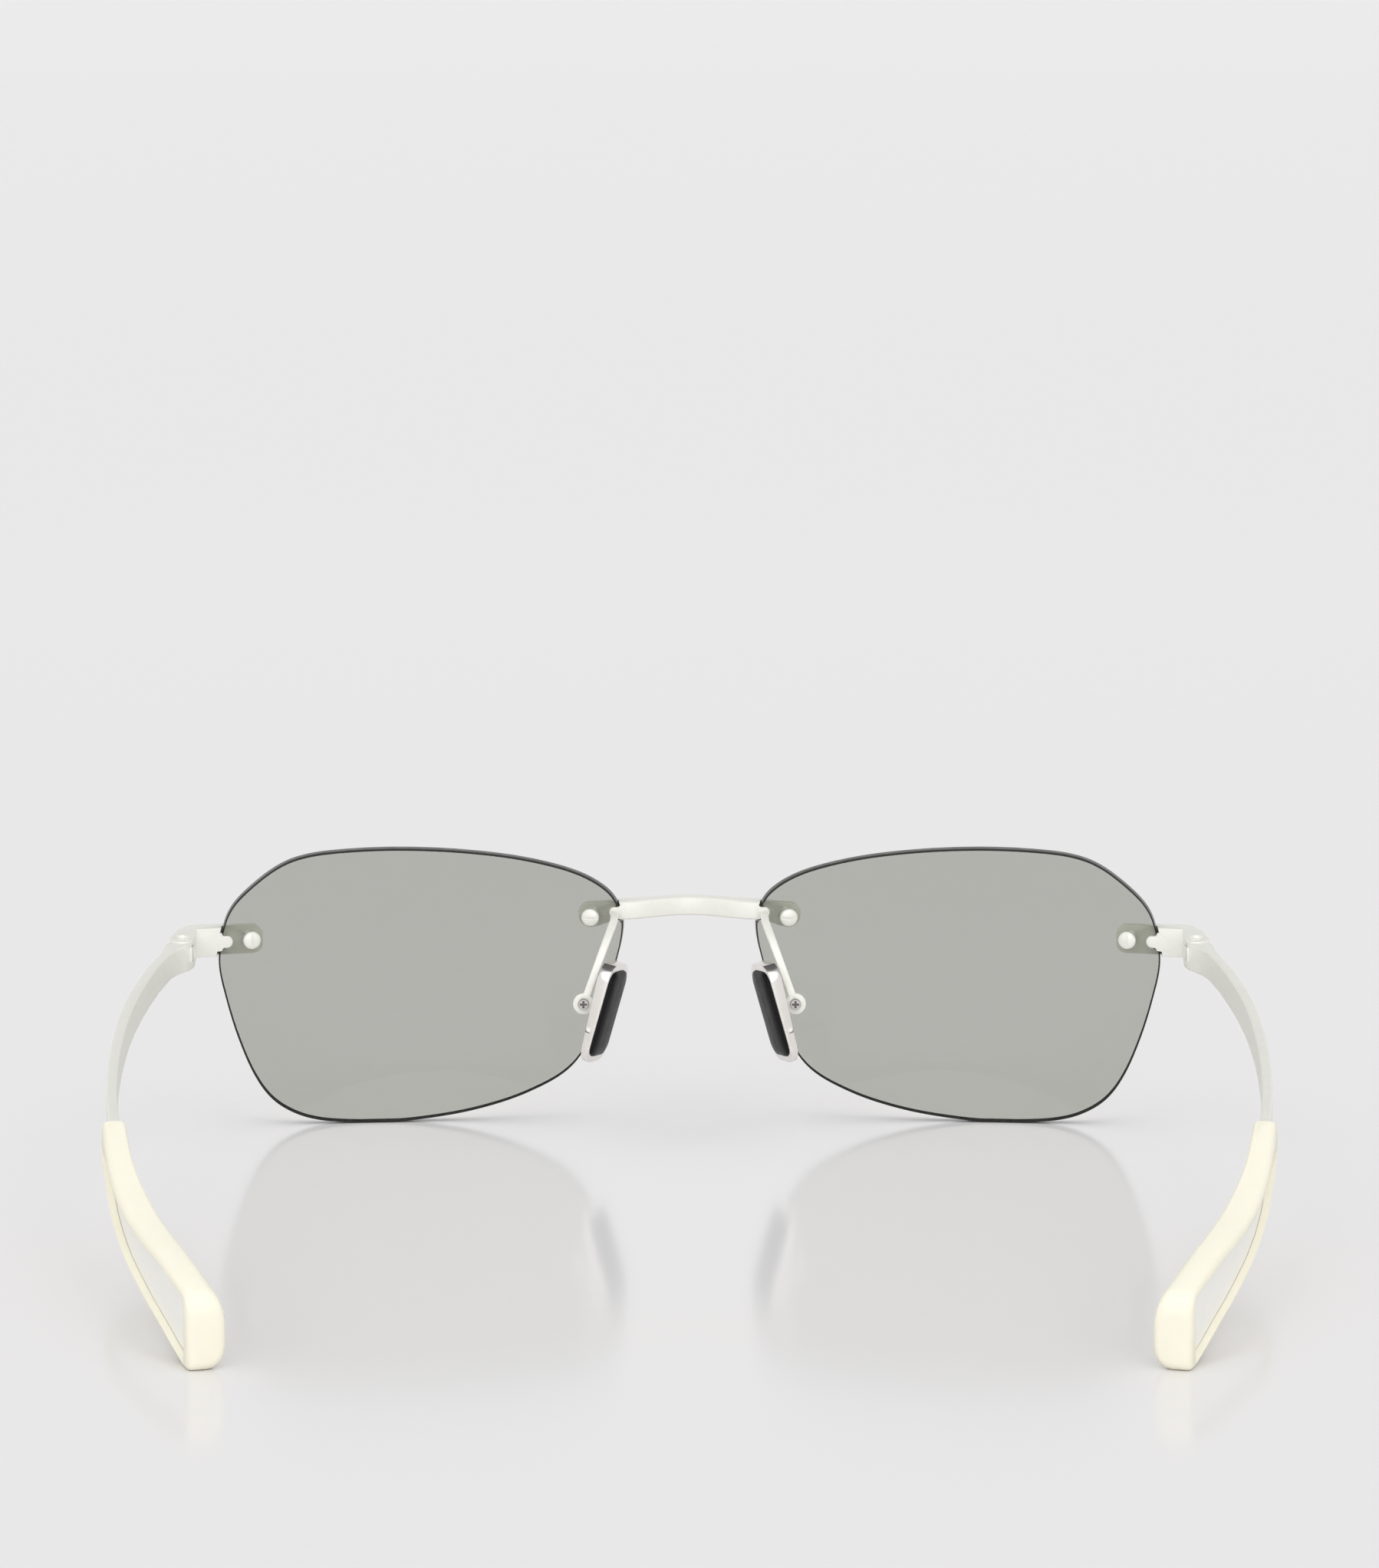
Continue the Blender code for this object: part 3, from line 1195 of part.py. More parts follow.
def set_on_origin(root):
    """Moves the whole object so that its box stands on the origin."""
    bpy.context.view_layer.update()
    graph = bpy.context.evaluated_depsgraph_get()
    corners = []
    for item in bpy.data.objects:
        if item.type == "MESH" and not item.hide_render:
            evaluated = item.evaluated_get(graph)
            corners += [evaluated.matrix_world @ vert.co for vert in evaluated.data.vertices]
    middle = [(min(c[i] for c in corners) + max(c[i] for c in corners)) / 2 for i in range(2)]
    bottom = min(c.z for c in corners)
    root.location = (-middle[0], -middle[1], -bottom)
    return root.location.copy()


def main():
    cleared_scene()
    root = empty("sunglasses", (0.0, 0.0, 0.0), None)
    for name, side in SIDES:
        make_lens(name, side, root)
        make_bolts(name, side, root)
        make_endpiece(name, side, root)
        make_hinge_screw(name, side, root)
        make_pad_arm(name, side, root)
        temple_pivot = empty(f"temple_{name}_pivot", (side * HINGE_X, HINGE_Y, HINGE_Z), root)
        make_temple(name, side, temple_pivot)
        make_tip(name, side, temple_pivot)
        ring = (side * RING_CENTRE.x, RING_CENTRE.y, RING_CENTRE.z)
        pad_pivot = empty(f"pad_{name}_pivot", ring, root)
        make_pad(name, side, pad_pivot)
        make_pad_screw(name, side, pad_pivot)
    make_bridge(root)
    moved = set_on_origin(root)
    hinge = Vector((HINGE_X, HINGE_Y, HINGE_Z))
    print("moved by", tuple(round(value / MM, 3) for value in moved), "mm")
    print("right hinge at", tuple(round(value / MM, 3) for value in hinge + moved), "mm")
    print("right pad ring at", tuple(round(value / MM, 3) for value in RING_CENTRE + moved), "mm")


main()
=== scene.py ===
"""Finished pieces, materials and a pale studio for a pair of rimless sunglasses.

Sizes are in metres. +X is the wearer's right, +Y is forwards and +Z is up, and the lenses and the temple tips
stand on Z = 0. Pieces are made for the right side and mirrored for the left.
"""

import json
import math

import bmesh
import bpy
from mathutils import Matrix, Vector


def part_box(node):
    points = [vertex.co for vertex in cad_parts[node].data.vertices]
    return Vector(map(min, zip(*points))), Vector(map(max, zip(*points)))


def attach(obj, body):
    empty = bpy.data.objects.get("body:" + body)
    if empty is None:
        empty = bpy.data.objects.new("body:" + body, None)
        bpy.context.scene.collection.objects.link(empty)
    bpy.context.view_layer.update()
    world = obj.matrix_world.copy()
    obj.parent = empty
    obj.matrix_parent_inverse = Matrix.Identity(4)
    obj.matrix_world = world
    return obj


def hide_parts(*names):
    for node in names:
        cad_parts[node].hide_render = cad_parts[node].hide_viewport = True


bl_info = {
    "name": "Rimless sunglasses",
    "version": (1, 0, 0),
    "blender": (4, 5, 0),
    "location": "3D View > Sidebar > Sunglasses",
    "description": "Finishes the pieces of a pair of rimless sunglasses and sets them in a pale studio",
    "category": "Object",
}

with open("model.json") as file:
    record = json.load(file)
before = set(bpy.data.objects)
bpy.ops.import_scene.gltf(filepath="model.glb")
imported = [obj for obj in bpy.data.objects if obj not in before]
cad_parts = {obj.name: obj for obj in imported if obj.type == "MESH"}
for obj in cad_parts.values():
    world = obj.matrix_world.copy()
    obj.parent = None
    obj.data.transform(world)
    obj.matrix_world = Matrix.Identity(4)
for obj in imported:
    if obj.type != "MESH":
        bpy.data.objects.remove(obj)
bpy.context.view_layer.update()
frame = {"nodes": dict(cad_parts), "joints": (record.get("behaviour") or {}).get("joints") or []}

MM = 0.001
SIDES = ("right", "left")

# Picture
IMAGE_WIDTH_PX = 1798
IMAGE_HEIGHT_PX = 2044
FOCAL_LENGTH_PX = 9606
SENSOR_WIDTH_MM = 36.0
CAMERA_BEHIND_LENS = 1002.9 * MM
CAMERA_HEIGHT = 208.1 * MM
CAMERA_PITCH_DEG = 9.137

# Joints of the right half
HINGE = next(Vector(joint["pos_m"]) for joint in frame["joints"] if joint["name"] == "right_temple_fold")
PAD_RING = next(Vector(joint["pos_m"]) for joint in frame["joints"] if joint["name"] == "right_pad_tilt")

# Lenses
LENS_WIDTH = 55.75 * MM
LENS_HEIGHT = 38.4 * MM
LENS_GAP = 18.2 * MM
LENS_APEX_OFFSET = 4.5 * MM
LENS_APEX_BEFORE_HINGE = 11.254 * MM
LENS_CENTRE_X = (LENS_GAP + LENS_WIDTH) / 2
LENS_CENTRE_Z = LENS_HEIGHT / 2
LENS_APEX = Vector((LENS_CENTRE_X - LENS_APEX_OFFSET, HINGE.y + LENS_APEX_BEFORE_HINGE, LENS_CENTRE_Z))
# Half widths and half heights from the lens centre, outwards and upwards, anticlockwise from the temple.
LENS_OUTLINE_SHARES = (
    (1.000, 0.170),
    (0.987, 0.390),
    (0.943, 0.577),
    (0.848, 0.732),
    (0.703, 0.888),
    (0.560, 0.962),
    (0.360, 0.992),
    (0.100, 1.000),
    (-0.200, 0.980),
    (-0.500, 0.929),
    (-0.760, 0.838),
    (-0.920, 0.712),
    (-0.990, 0.560),
    (-1.000, 0.400),
    (-0.963, 0.155),
    (-0.880, -0.250),
    (-0.750, -0.585),
    (-0.530, -0.787),
    (-0.250, -0.922),
    (0.060, -0.993),
    (0.300, -1.000),
    (0.500, -0.978),
    (0.640, -0.915),
    (0.753, -0.799),
    (0.840, -0.610),
    (0.915, -0.340),
    (0.970, -0.060),
)
OUTLINE_STEPS = 8
# 0 for an edge that runs straight back, 1 for one square to the curved faces.
LENS_EDGE_LEAN = 0.3
LENS_RING_SHARES = (0.02, 0.15, 0.3, 0.45, 0.6, 0.75, 0.9, 0.97)
EDGE_ROUND_DEG = (0, 30, 60, 90)
# A face whose normal lines up less than this with the lens's own is part of the rim.
RIM_ALIGNMENT = 0.985

# Bolts and notches
BOLT_SPOTS = {
    "temporal": (LENS_GAP / 2 + LENS_WIDTH - 4.1 * MM, 26.15 * MM),
    "nasal": (LENS_GAP / 2 + 4.17 * MM, 29.1 * MM),
}
NOTCH_LEVELS = {"temporal": 25.85 * MM, "nasal": 29.6 * MM}
NOTCH_HEIGHT = 1.8 * MM
NOTCH_FROM_BOLT = 2.5 * MM
NOTCH_FLARE = 0.5 * MM
NOTCH_FLARE_SHARES = ((0.3, 0.03), (0.55, 0.12), (0.72, 0.25), (0.85, 0.42), (0.94, 0.64), (1.0, 0.95))
BOLT_HEAD_RADIUS = 1.22 * MM
BOLT_HEAD_RIM = 0.25 * MM
BOLT_HEAD_CROWN = 0.45 * MM
BOLT_CROWN_DEG = range(0, 90, 10)
BOLT_RADIUS = 0.55 * MM
BOLT_BITE = 0.9 * MM
SLEEVE_RADIUS = 0.9 * MM
SLEEVE_FLANGE = 0.15 * MM
SLOT_WIDTH = 0.28 * MM
SLOT_DEPTH = 0.25 * MM
SLOT_EDGE = SLOT_WIDTH / 9
THREAD_PITCH = 0.25 * MM
THREAD_DEPTH = THREAD_PITCH / 5

# Hinge screws
HINGE_SCREW_RADIUS = 0.6 * MM
HINGE_SCREW_HEAD_RADIUS = 1.0 * MM
HINGE_SCREW_HEAD = 0.42 * MM
HINGE_SCREW_CHAMFER = HINGE_SCREW_HEAD / 4
HINGE_SLOT_DEPTH = HINGE_SCREW_HEAD / 2
HINGE_SCREW_LOW = 1.5 * MM
HINGE_SCREW_SEAT = 1.34 * MM

# Nose pads
PAD_SPLAY_DEG = 20.0
PAD_LEAN_DEG = 15.8
PAD_FRAME_LENGTH = 14.0 * MM
PAD_FRAME_WIDTH = 7.6 * MM
PAD_FRAME_DEPTH = 1.06 * MM
PAD_FRAME_FLOOR = 0.4 * MM
PAD_FRAME_CORNER = 2.3 * MM
PAD_FRAME_EDGE = PAD_FRAME_FLOOR / 4
PAD_BACK_OUT = 0.3 * MM
PAD_BACK_SLANT = 0.4 * MM
PAD_GROOVE_FROM_END = 4.6 * MM
PAD_GROOVE_WIDTH = 0.75 * MM
PAD_GROOVE_REACH = 1.6 * PAD_FRAME_DEPTH
PAD_CUSHION_LENGTH = 12.05 * MM
PAD_CUSHION_WIDTH = 6.0 * MM
PAD_CUSHION_CORNER = 1.6 * MM
PAD_CUSHION_PROUD = 0.25 * MM
PAD_CUSHION_CROWN = 0.4 * MM
PAD_CROWN_SHARES = ((0.04, 0.08), (0.15, 0.25), (0.4, 0.48), (0.8, 0.7), (1.25, 0.88), (1.8, 1.0))
PAD_LUG_REACH = 2.35 * MM
PAD_LUG_RISE = 1.0 * MM
PAD_LUG_RADIUS = 1.2 * MM
PAD_LUG_THICKNESS = 0.8 * MM
PAD_LUG_NECK = 1.5 * MM
ARM_RING_THICKNESS = 0.7 * MM
PAD_SCREW_RADIUS = 0.45 * MM
PAD_SCREW_HEAD_RADIUS = 0.73 * MM
PAD_SCREW_HEAD = 0.35 * MM
PAD_SCREW_HEAD_EDGE = PAD_SCREW_HEAD / 3
PAD_SCREW_ROUND_DEG = (0, 30, 60)
RECESS_LENGTH = 1.0 * MM
RECESS_WIDTH = 0.3 * MM
RECESS_DEPTH = 0.26 * MM

# Clearances and finish of edges
BEVEL_SEGMENTS = 2
SEAT_GAP = 0.05 * MM
RUNNING_GAP = 0.06 * MM
CUT_OVERRUN = 1.0 * MM
MERGE_DISTANCE = 0.0005 * MM
FLAT_DEG = 0.3
SHARP_DEG = 32
LENS_SHARP_DEG = 40
CUSHION_SHARP_DEG = 50
ROUND_STEPS = 48
CORNER_STEPS = 10
NOTCH_STEPS = 16
LUG_STEPS = 20

# Where the walls end in reflections and where the ceiling starts, as the upward share of a direction
BACKDROP_TOP = 0.25
CEILING_START = 0.6

# Range of the grain's value over which roughness changes
GRAIN_LOW = 0.3
GRAIN_HIGH = 0.7

# Sockets whose names don't tell them apart: a Mix node's for colours, and a Mix Shader's
MIX_FACTOR = 0
MIX_FIRST = 6
MIX_SECOND = 7
MIX_RESULT = 2
FIRST_SHADER = 1
SECOND_SHADER = 2

# Lights, as spread, azimuth and elevation in degrees. Azimuth 0 shines from behind the camera, along +Y.
KEY_LIGHT = (70, 0, 36)
LEFT_LIGHT = (60, 75, 45)
RIGHT_LIGHT = (60, -75, 45)


# Selecting and shading


def select_only(piece):
    """Makes one object the only one that operators act on."""
    if bpy.context.object and bpy.context.object.mode != "OBJECT":
        bpy.ops.object.mode_set(mode="OBJECT")
    bpy.ops.object.select_all(action="DESELECT")
    if piece:
        piece.select_set(True)
        bpy.context.view_layer.objects.active = piece


def edit_all(piece):
    select_only(piece)
    bpy.ops.object.mode_set(mode="EDIT")
    bpy.ops.mesh.select_mode(type="VERT")
    bpy.ops.mesh.select_all(action="SELECT")


def shade(piece, angle_deg=SHARP_DEG):
    select_only(piece)
    bpy.ops.object.shade_smooth_by_angle(angle=math.radians(angle_deg))


def apply_modifiers(piece):
    select_only(piece)
    for modifier in list(piece.modifiers):
        bpy.ops.object.modifier_apply(modifier=modifier.name)


def round_edges(piece, width):
    """Rounds every sharp edge."""
    bevel = piece.modifiers.new("rounded edges", "BEVEL")
    bevel.width = width
    bevel.segments = BEVEL_SEGMENTS
    bevel.limit_method = "ANGLE"
    bevel.angle_limit = math.radians(SHARP_DEG)
    bevel.use_clamp_overlap = True
    bevel.miter_outer = "MITER_ARC"
    apply_modifiers(piece)


def combine(piece, other, operation):
    """Cuts another object from the piece, or joins it on, and deletes the other one."""
    boolean = piece.modifiers.new("shape", "BOOLEAN")
    boolean.operation = operation
    boolean.solver = "EXACT"
    boolean.object = other
    apply_modifiers(piece)
    bpy.data.objects.remove(other, do_unlink=True)


# Making shapes


def move_onto(piece, ring):
    """Puts the selected vertices onto a ring of points. Each keeps its place in the ring when extruded."""
    shape = bmesh.from_edit_mesh(piece.data)
    order = shape.verts.layers.int["place"]
    for vert in shape.verts:
        if vert.select:
            vert.co = ring[vert[order]]
    bmesh.update_edit_mesh(piece.data)


def lofted(name, rings):
    """A closed skin through rings of points: a filled circle is extruded from each ring to the next."""
    select_only(None)
    bpy.ops.mesh.primitive_circle_add(vertices=len(rings[0]), radius=1.0, fill_type="NGON")
    piece = bpy.context.object
    piece.name = name
    edit_all(piece)
    shape = bmesh.from_edit_mesh(piece.data)
    order = shape.verts.layers.int.new("place")
    shape.verts.ensure_lookup_table()
    for i, vert in enumerate(shape.verts):
        vert[order] = i
    bmesh.update_edit_mesh(piece.data)
    move_onto(piece, rings[0])
    for ring in rings[1:]:
        bpy.ops.mesh.extrude_region_move()
        move_onto(piece, ring)
    bpy.ops.mesh.select_all(action="SELECT")
    bpy.ops.mesh.normals_make_consistent(inside=False)
    select_only(piece)
    bpy.ops.object.transform_apply(location=True, rotation=True, scale=True)
    return piece


def turned(name, profile, place, closed=False):
    """A profile of (radius, height) pairs spun round a place's local Z. An open one ends on the axis."""
    select_only(None)
    bpy.ops.mesh.primitive_circle_add(vertices=len(profile), radius=1.0, fill_type="NOTHING")
    piece = bpy.context.object
    piece.name = name
    edit_all(piece)
    shape = bmesh.from_edit_mesh(piece.data)
    shape.verts.ensure_lookup_table()
    if not closed:
        shape.edges.remove(shape.edges.get((shape.verts[0], shape.verts[-1])))
    for vert, (radius, height) in zip(shape.verts, profile):
        vert.co = place @ Vector((radius, 0.0, height))
    bmesh.update_edit_mesh(piece.data)
    bpy.ops.mesh.spin(
        steps=ROUND_STEPS,
        angle=math.tau,
        use_auto_merge=True,
        center=place.translation,
        axis=place.to_3x3().col[2],
    )
    bpy.ops.mesh.select_all(action="SELECT")
    bpy.ops.mesh.remove_doubles(threshold=MERGE_DISTANCE)
    bpy.ops.mesh.normals_make_consistent(inside=False)
    select_only(piece)
    return piece


def drill(name, radius, low, high, place):
    """A cylinder along a place's local Z, for cutting."""
    return turned(name, [(0.0, low), (radius, low), (radius, high), (0.0, high)], place)


def block(place, size):
    """A box about a place's origin, for cutting."""
    select_only(None)
    bpy.ops.mesh.primitive_cube_add(size=1.0)
    piece = bpy.context.object
    piece.data.transform(place @ Matrix.Diagonal((*size, 1.0)))
    return piece


def refined(name, node, edge_width):
    """A copy of a frame node with its triangles merged, its edges rounded and its curves shaded smooth."""
    piece = bpy.data.objects.new(name, frame["nodes"][node].data.copy())
    bpy.context.scene.collection.objects.link(piece)
    piece.data.materials.clear()
    edit_all(piece)
    bpy.ops.mesh.customdata_custom_splitnormals_clear()
    bpy.ops.mesh.remove_doubles(threshold=MERGE_DISTANCE)
    bpy.ops.mesh.dissolve_limited(angle_limit=math.radians(FLAT_DEG))
    bpy.ops.mesh.normals_make_consistent(inside=False)
    if edge_width:
        round_edges(piece, edge_width)
    shade(piece)
    return piece


def mirrored(piece, name):
    """A copy for the left side."""
    copy = bpy.data.objects.new(name, piece.data.copy())
    bpy.context.scene.collection.objects.link(copy)
    edit_all(copy)
    bpy.ops.transform.resize(value=(-1.0, 1.0, 1.0), center_override=(0.0, 0.0, 0.0))
    bpy.ops.mesh.select_all(action="SELECT")
    bpy.ops.mesh.normals_make_consistent(inside=False)
    select_only(copy)
    return copy


def settle(piece, node, body, materials):
    """Gives a finished piece its materials and its place in the moving frame."""
    piece.data.materials.clear()
    for material in materials:
        piece.data.materials.append(material)
    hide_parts(node)
    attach(piece, body)


def smooth_through(before, start, end, after, share):
    """A Catmull-Rom curve between start and end."""
    square, cube = share**2, share**3
    return (
        (2 * start)
        + (end - before) * share
        + (2 * before - 5 * start + 4 * end - after) * square
        + (3 * start - before - 3 * end + after) * cube
    ) / 2


def arc(centre, radius, start_deg, end_deg, steps):
    """Points on a round stretch, in order, with both ends."""
    points = []
    for step in range(steps + 1):
        angle = math.radians(start_deg + (end_deg - start_deg) * step / steps)
        points.append((centre[0] + radius * math.cos(angle), centre[1] + radius * math.sin(angle)))
    return points


def rounded_outline(length, width, corner):
    """A rectangle about zero with round corners, its length along X."""
    across, along = width / 2 - corner, length / 2 - corner
    return (
        arc((along, across), corner, 0, 90, CORNER_STEPS)
        + arc((-along, across), corner, 90, 180, CORNER_STEPS)
        + arc((-along, -across), corner, 180, 270, CORNER_STEPS)
        + arc((along, -across), corner, 270, 360, CORNER_STEPS)
    )


# Materials


def empty_material(name):
    """A new material with a Principled shader, and its nodes and links."""
    material = bpy.data.materials.new(name)
    material.use_nodes = True
    tree = material.node_tree
    return material, tree, tree.nodes["Principled BSDF"]


def grain_group():
    """Fine uneven grain: a value about one half that changes over the surface."""
    group = bpy.data.node_groups.new("fine grain", "ShaderNodeTree")
    group.interface.new_socket("Scale", in_out="INPUT", socket_type="NodeSocketFloat")
    group.interface.new_socket("Stretch", in_out="INPUT", socket_type="NodeSocketVector")
    group.interface.new_socket("Value", in_out="OUTPUT", socket_type="NodeSocketFloat")
    nodes, links = group.nodes, group.links
    inputs = nodes.new("NodeGroupInput")
    outputs = nodes.new("NodeGroupOutput")
    place = nodes.new("ShaderNodeTexCoord")
    stretch = nodes.new("ShaderNodeVectorMath")
    stretch.operation = "MULTIPLY"
    noise = nodes.new("ShaderNodeTexNoise")
    noise.inputs["Detail"].default_value = 4.0
    noise.inputs["Roughness"].default_value = 0.6
    links.new(place.outputs["Object"], stretch.inputs[0])
    links.new(inputs.outputs["Stretch"], stretch.inputs[1])
    links.new(stretch.outputs["Vector"], noise.inputs["Vector"])
    links.new(inputs.outputs["Scale"], noise.inputs["Scale"])
    links.new(noise.outputs["Fac"], outputs.inputs["Value"])
    return group


def tone_group():
    """A colour that drifts a little, lighter and darker, with a value such as grain."""
    group = bpy.data.node_groups.new("uneven tone", "ShaderNodeTree")
    group.interface.new_socket("Value", in_out="INPUT", socket_type="NodeSocketFloat")
    group.interface.new_socket("Colour", in_out="INPUT", socket_type="NodeSocketColor")
    group.interface.new_socket("Drift", in_out="INPUT", socket_type="NodeSocketFloat")
    group.interface.new_socket("Colour", in_out="OUTPUT", socket_type="NodeSocketColor")
    nodes, links = group.nodes, group.links
    inputs = nodes.new("NodeGroupInput")
    outputs = nodes.new("NodeGroupOutput")
    centred = nodes.new("ShaderNodeMath")
    centred.operation = "SUBTRACT"
    centred.inputs[1].default_value = 0.5
    drift = nodes.new("ShaderNodeMath")
    drift.operation = "MULTIPLY_ADD"
    drift.inputs[2].default_value = 1.0
    tone = nodes.new("ShaderNodeVectorMath")
    tone.operation = "SCALE"
    links.new(inputs.outputs["Value"], centred.inputs[0])
    links.new(centred.outputs["Value"], drift.inputs[0])
    links.new(inputs.outputs["Drift"], drift.inputs[1])
    links.new(inputs.outputs["Colour"], tone.inputs[0])
    links.new(drift.outputs["Value"], tone.inputs["Scale"])
    links.new(tone.outputs["Vector"], outputs.inputs["Colour"])
    return group


def shared_group(name, make):
    return bpy.data.node_groups.get(name) or make()


def add_grain(tree, scale, stretch=(1.0, 1.0, 1.0)):
    """Places the grain group and returns its value."""
    node = tree.nodes.new("ShaderNodeGroup")
    node.node_tree = shared_group("fine grain", grain_group)
    node.inputs["Scale"].default_value = scale
    node.inputs["Stretch"].default_value = stretch
    return node.outputs["Value"]


def add_tone(tree, shader, value, color, drift):
    node = tree.nodes.new("ShaderNodeGroup")
    node.node_tree = shared_group("uneven tone", tone_group)
    node.inputs["Colour"].default_value = (*color, 1.0)
    node.inputs["Drift"].default_value = drift
    tree.links.new(value, node.inputs["Value"])
    tree.links.new(node.outputs["Colour"], shader.inputs["Base Color"])


def add_roughness(tree, shader, value, low, high):
    """Lets the roughness run from low to high with a value."""
    spread = tree.nodes.new("ShaderNodeMapRange")
    spread.inputs["From Min"].default_value = GRAIN_LOW
    spread.inputs["From Max"].default_value = GRAIN_HIGH
    spread.inputs["To Min"].default_value = low
    spread.inputs["To Max"].default_value = high
    tree.links.new(value, spread.inputs["Value"])
    tree.links.new(spread.outputs["Result"], shader.inputs["Roughness"])


def add_bump(tree, shader, value, height):
    bump = tree.nodes.new("ShaderNodeBump")
    bump.inputs["Strength"].default_value = 1.0
    bump.inputs["Distance"].default_value = height
    tree.links.new(value, bump.inputs["Height"])
    tree.links.new(bump.outputs["Normal"], shader.inputs["Normal"])


def satin_metal(name, color, metallic):
    """Bead-blasted pale metal under a thin matt white coat."""
    material, tree, shader = empty_material(name)
    shader.inputs["Metallic"].default_value = metallic
    shader.inputs["Specular IOR Level"].default_value = 0.35
    add_tone(tree, shader, add_grain(tree, scale=1100.0), color, drift=0.08)
    add_roughness(tree, shader, add_grain(tree, scale=900.0), low=0.38, high=0.52)
    add_bump(tree, shader, add_grain(tree, scale=2600.0), height=0.01 * MM)
    return material


def brushed_steel(name, color, metallic, stretch):
    """Steel with fine brush lines, and the streaks that they give."""
    material, tree, shader = empty_material(name)
    shader.inputs["Metallic"].default_value = metallic
    lines = add_grain(tree, scale=1500.0, stretch=stretch)
    add_tone(tree, shader, lines, color, drift=0.06)
    add_roughness(tree, shader, lines, low=0.2, high=0.27)
    return material


def soft_rubber(name, color, gloss, low, high, grain_height, scatter):
    """Moulded rubber: matt, with a fine skin. Light scatters in it where a distance for that is given."""
    material, tree, shader = empty_material(name)
    shader.inputs["Specular IOR Level"].default_value = gloss
    add_tone(tree, shader, add_grain(tree, scale=140.0), color, drift=0.05)
    add_roughness(tree, shader, add_grain(tree, scale=700.0), low, high)
    add_bump(tree, shader, add_grain(tree, scale=4200.0), grain_height)
    if scatter:
        shader.inputs["Subsurface Weight"].default_value = 0.2
        shader.inputs["Subsurface Radius"].default_value = (1.0, 0.7, 0.4)
        shader.inputs["Subsurface Scale"].default_value = scatter
    return material


def tinted_lens(name, tint):
    """Clear tinted plastic that hardly mirrors. Rays from lamps and from matt surfaces pass through it."""
    material, tree, shader = empty_material(name)
    shader.inputs["Base Color"].default_value = (*tint, 1.0)
    shader.inputs["Transmission Weight"].default_value = 1.0
    shader.inputs["IOR"].default_value = 1.2
    shader.inputs["Specular IOR Level"].default_value = 0.3
    add_roughness(tree, shader, add_grain(tree, scale=45.0), low=0.0, high=0.012)
    passed = tree.nodes.new("ShaderNodeBsdfTransparent")
    passed.inputs["Color"].default_value = (1.0, 1.0, 0.99, 1.0)
    path = tree.nodes.new("ShaderNodeLightPath")
    passing = tree.nodes.new("ShaderNodeMath")
    passing.operation = "MAXIMUM"
    mix = tree.nodes.new("ShaderNodeMixShader")
    tree.links.new(path.outputs["Is Shadow Ray"], passing.inputs[0])
    tree.links.new(path.outputs["Is Diffuse Ray"], passing.inputs[1])
    tree.links.new(passing.outputs["Value"], mix.inputs["Fac"])
    tree.links.new(shader.outputs["BSDF"], mix.inputs[FIRST_SHADER])
    tree.links.new(passed.outputs["BSDF"], mix.inputs[SECOND_SHADER])
    tree.links.new(mix.outputs["Shader"], tree.nodes["Material Output"].inputs["Surface"])
    return material


def lens_rim_shade(name, color):
    """The ground and polished edge of the lens, drawn near black and opaque: painted shade for the dark line
    that its tint shows as light runs through it lengthwise.
    """
    material, tree, shader = empty_material(name)
    value = add_grain(tree, scale=500.0)
    add_tone(tree, shader, value, color, drift=0.15)
    add_roughness(tree, shader, value, low=0.2, high=0.32)
    shader.inputs["Specular IOR Level"].default_value = 0.25
    return material


def clear_nylon(name, color):
    material, tree, shader = empty_material(name)
    shader.inputs["Base Color"].default_value = (*color, 1.0)
    shader.inputs["Transmission Weight"].default_value = 0.7
    shader.inputs["IOR"].default_value = 1.5
    add_roughness(tree, shader, add_grain(tree, scale=600.0), low=0.2, high=0.35)
    return material


def finish(name):
    """A finish of the sunglasses by name, made when it is first asked for."""
    made = bpy.data.materials.get(name)
    if made:
        return made
    look = bpy.context.scene.sunglasses_finish
    makers = {
        "satin titanium": lambda: satin_metal(name, look.titanium, metallic=0.3),
        # A lighter, matt copy of the temples' metal for their cores inside the tips: painted light for the
        # brighter light on the tips' outer sides.
        "core painted light": lambda: satin_metal(name, look.core_painted_light, metallic=0.0),
        "brushed tray steel": lambda: brushed_steel(
            name, look.tray_steel, metallic=1.0, stretch=(2.0, 2.0, 0.35)
        ),
        "screw steel": lambda: brushed_steel(name, look.screw_steel, metallic=0.9, stretch=(1.0, 1.0, 1.0)),
        # Dark steel as painted shade in the pad screws' cross recesses and round their heads.
        "screw shade steel": lambda: brushed_steel(
            name, look.recess_shade, metallic=0.9, stretch=(1.0, 1.0, 1.0)
        ),
        "cream rubber": lambda: soft_rubber(
            name, look.tip_rubber, gloss=0.35, low=0.42, high=0.55, grain_height=0.012 * MM, scatter=0.6 * MM
        ),
        "black rubber": lambda: soft_rubber(
            name, look.cushion_rubber, gloss=0.12, low=0.26, high=0.36, grain_height=0.006 * MM, scatter=0.0
        ),
        "smoke lens": lambda: tinted_lens(name, look.lens_tint),
        "lens rim shade": lambda: lens_rim_shade(name, look.lens_rim_shade),
        "clear nylon": lambda: clear_nylon(name, look.nylon),
    }
    return makers[name]()


# Lens


def lens_y(x, z, radius):
    """Y of a sphere about the lens's centre of curvature."""
    curve = bpy.context.scene.sunglasses_lens.curve_radius
    return LENS_APEX.y - curve + math.sqrt(radius**2 - (x - LENS_APEX.x) ** 2 - (z - LENS_APEX.z) ** 2)


def lens_front(x, z):
    return lens_y(x, z, bpy.context.scene.sunglasses_lens.curve_radius)


def lens_rear(x, z):
    lens = bpy.context.scene.sunglasses_lens
    return lens_y(x, z, lens.curve_radius - lens.thickness)


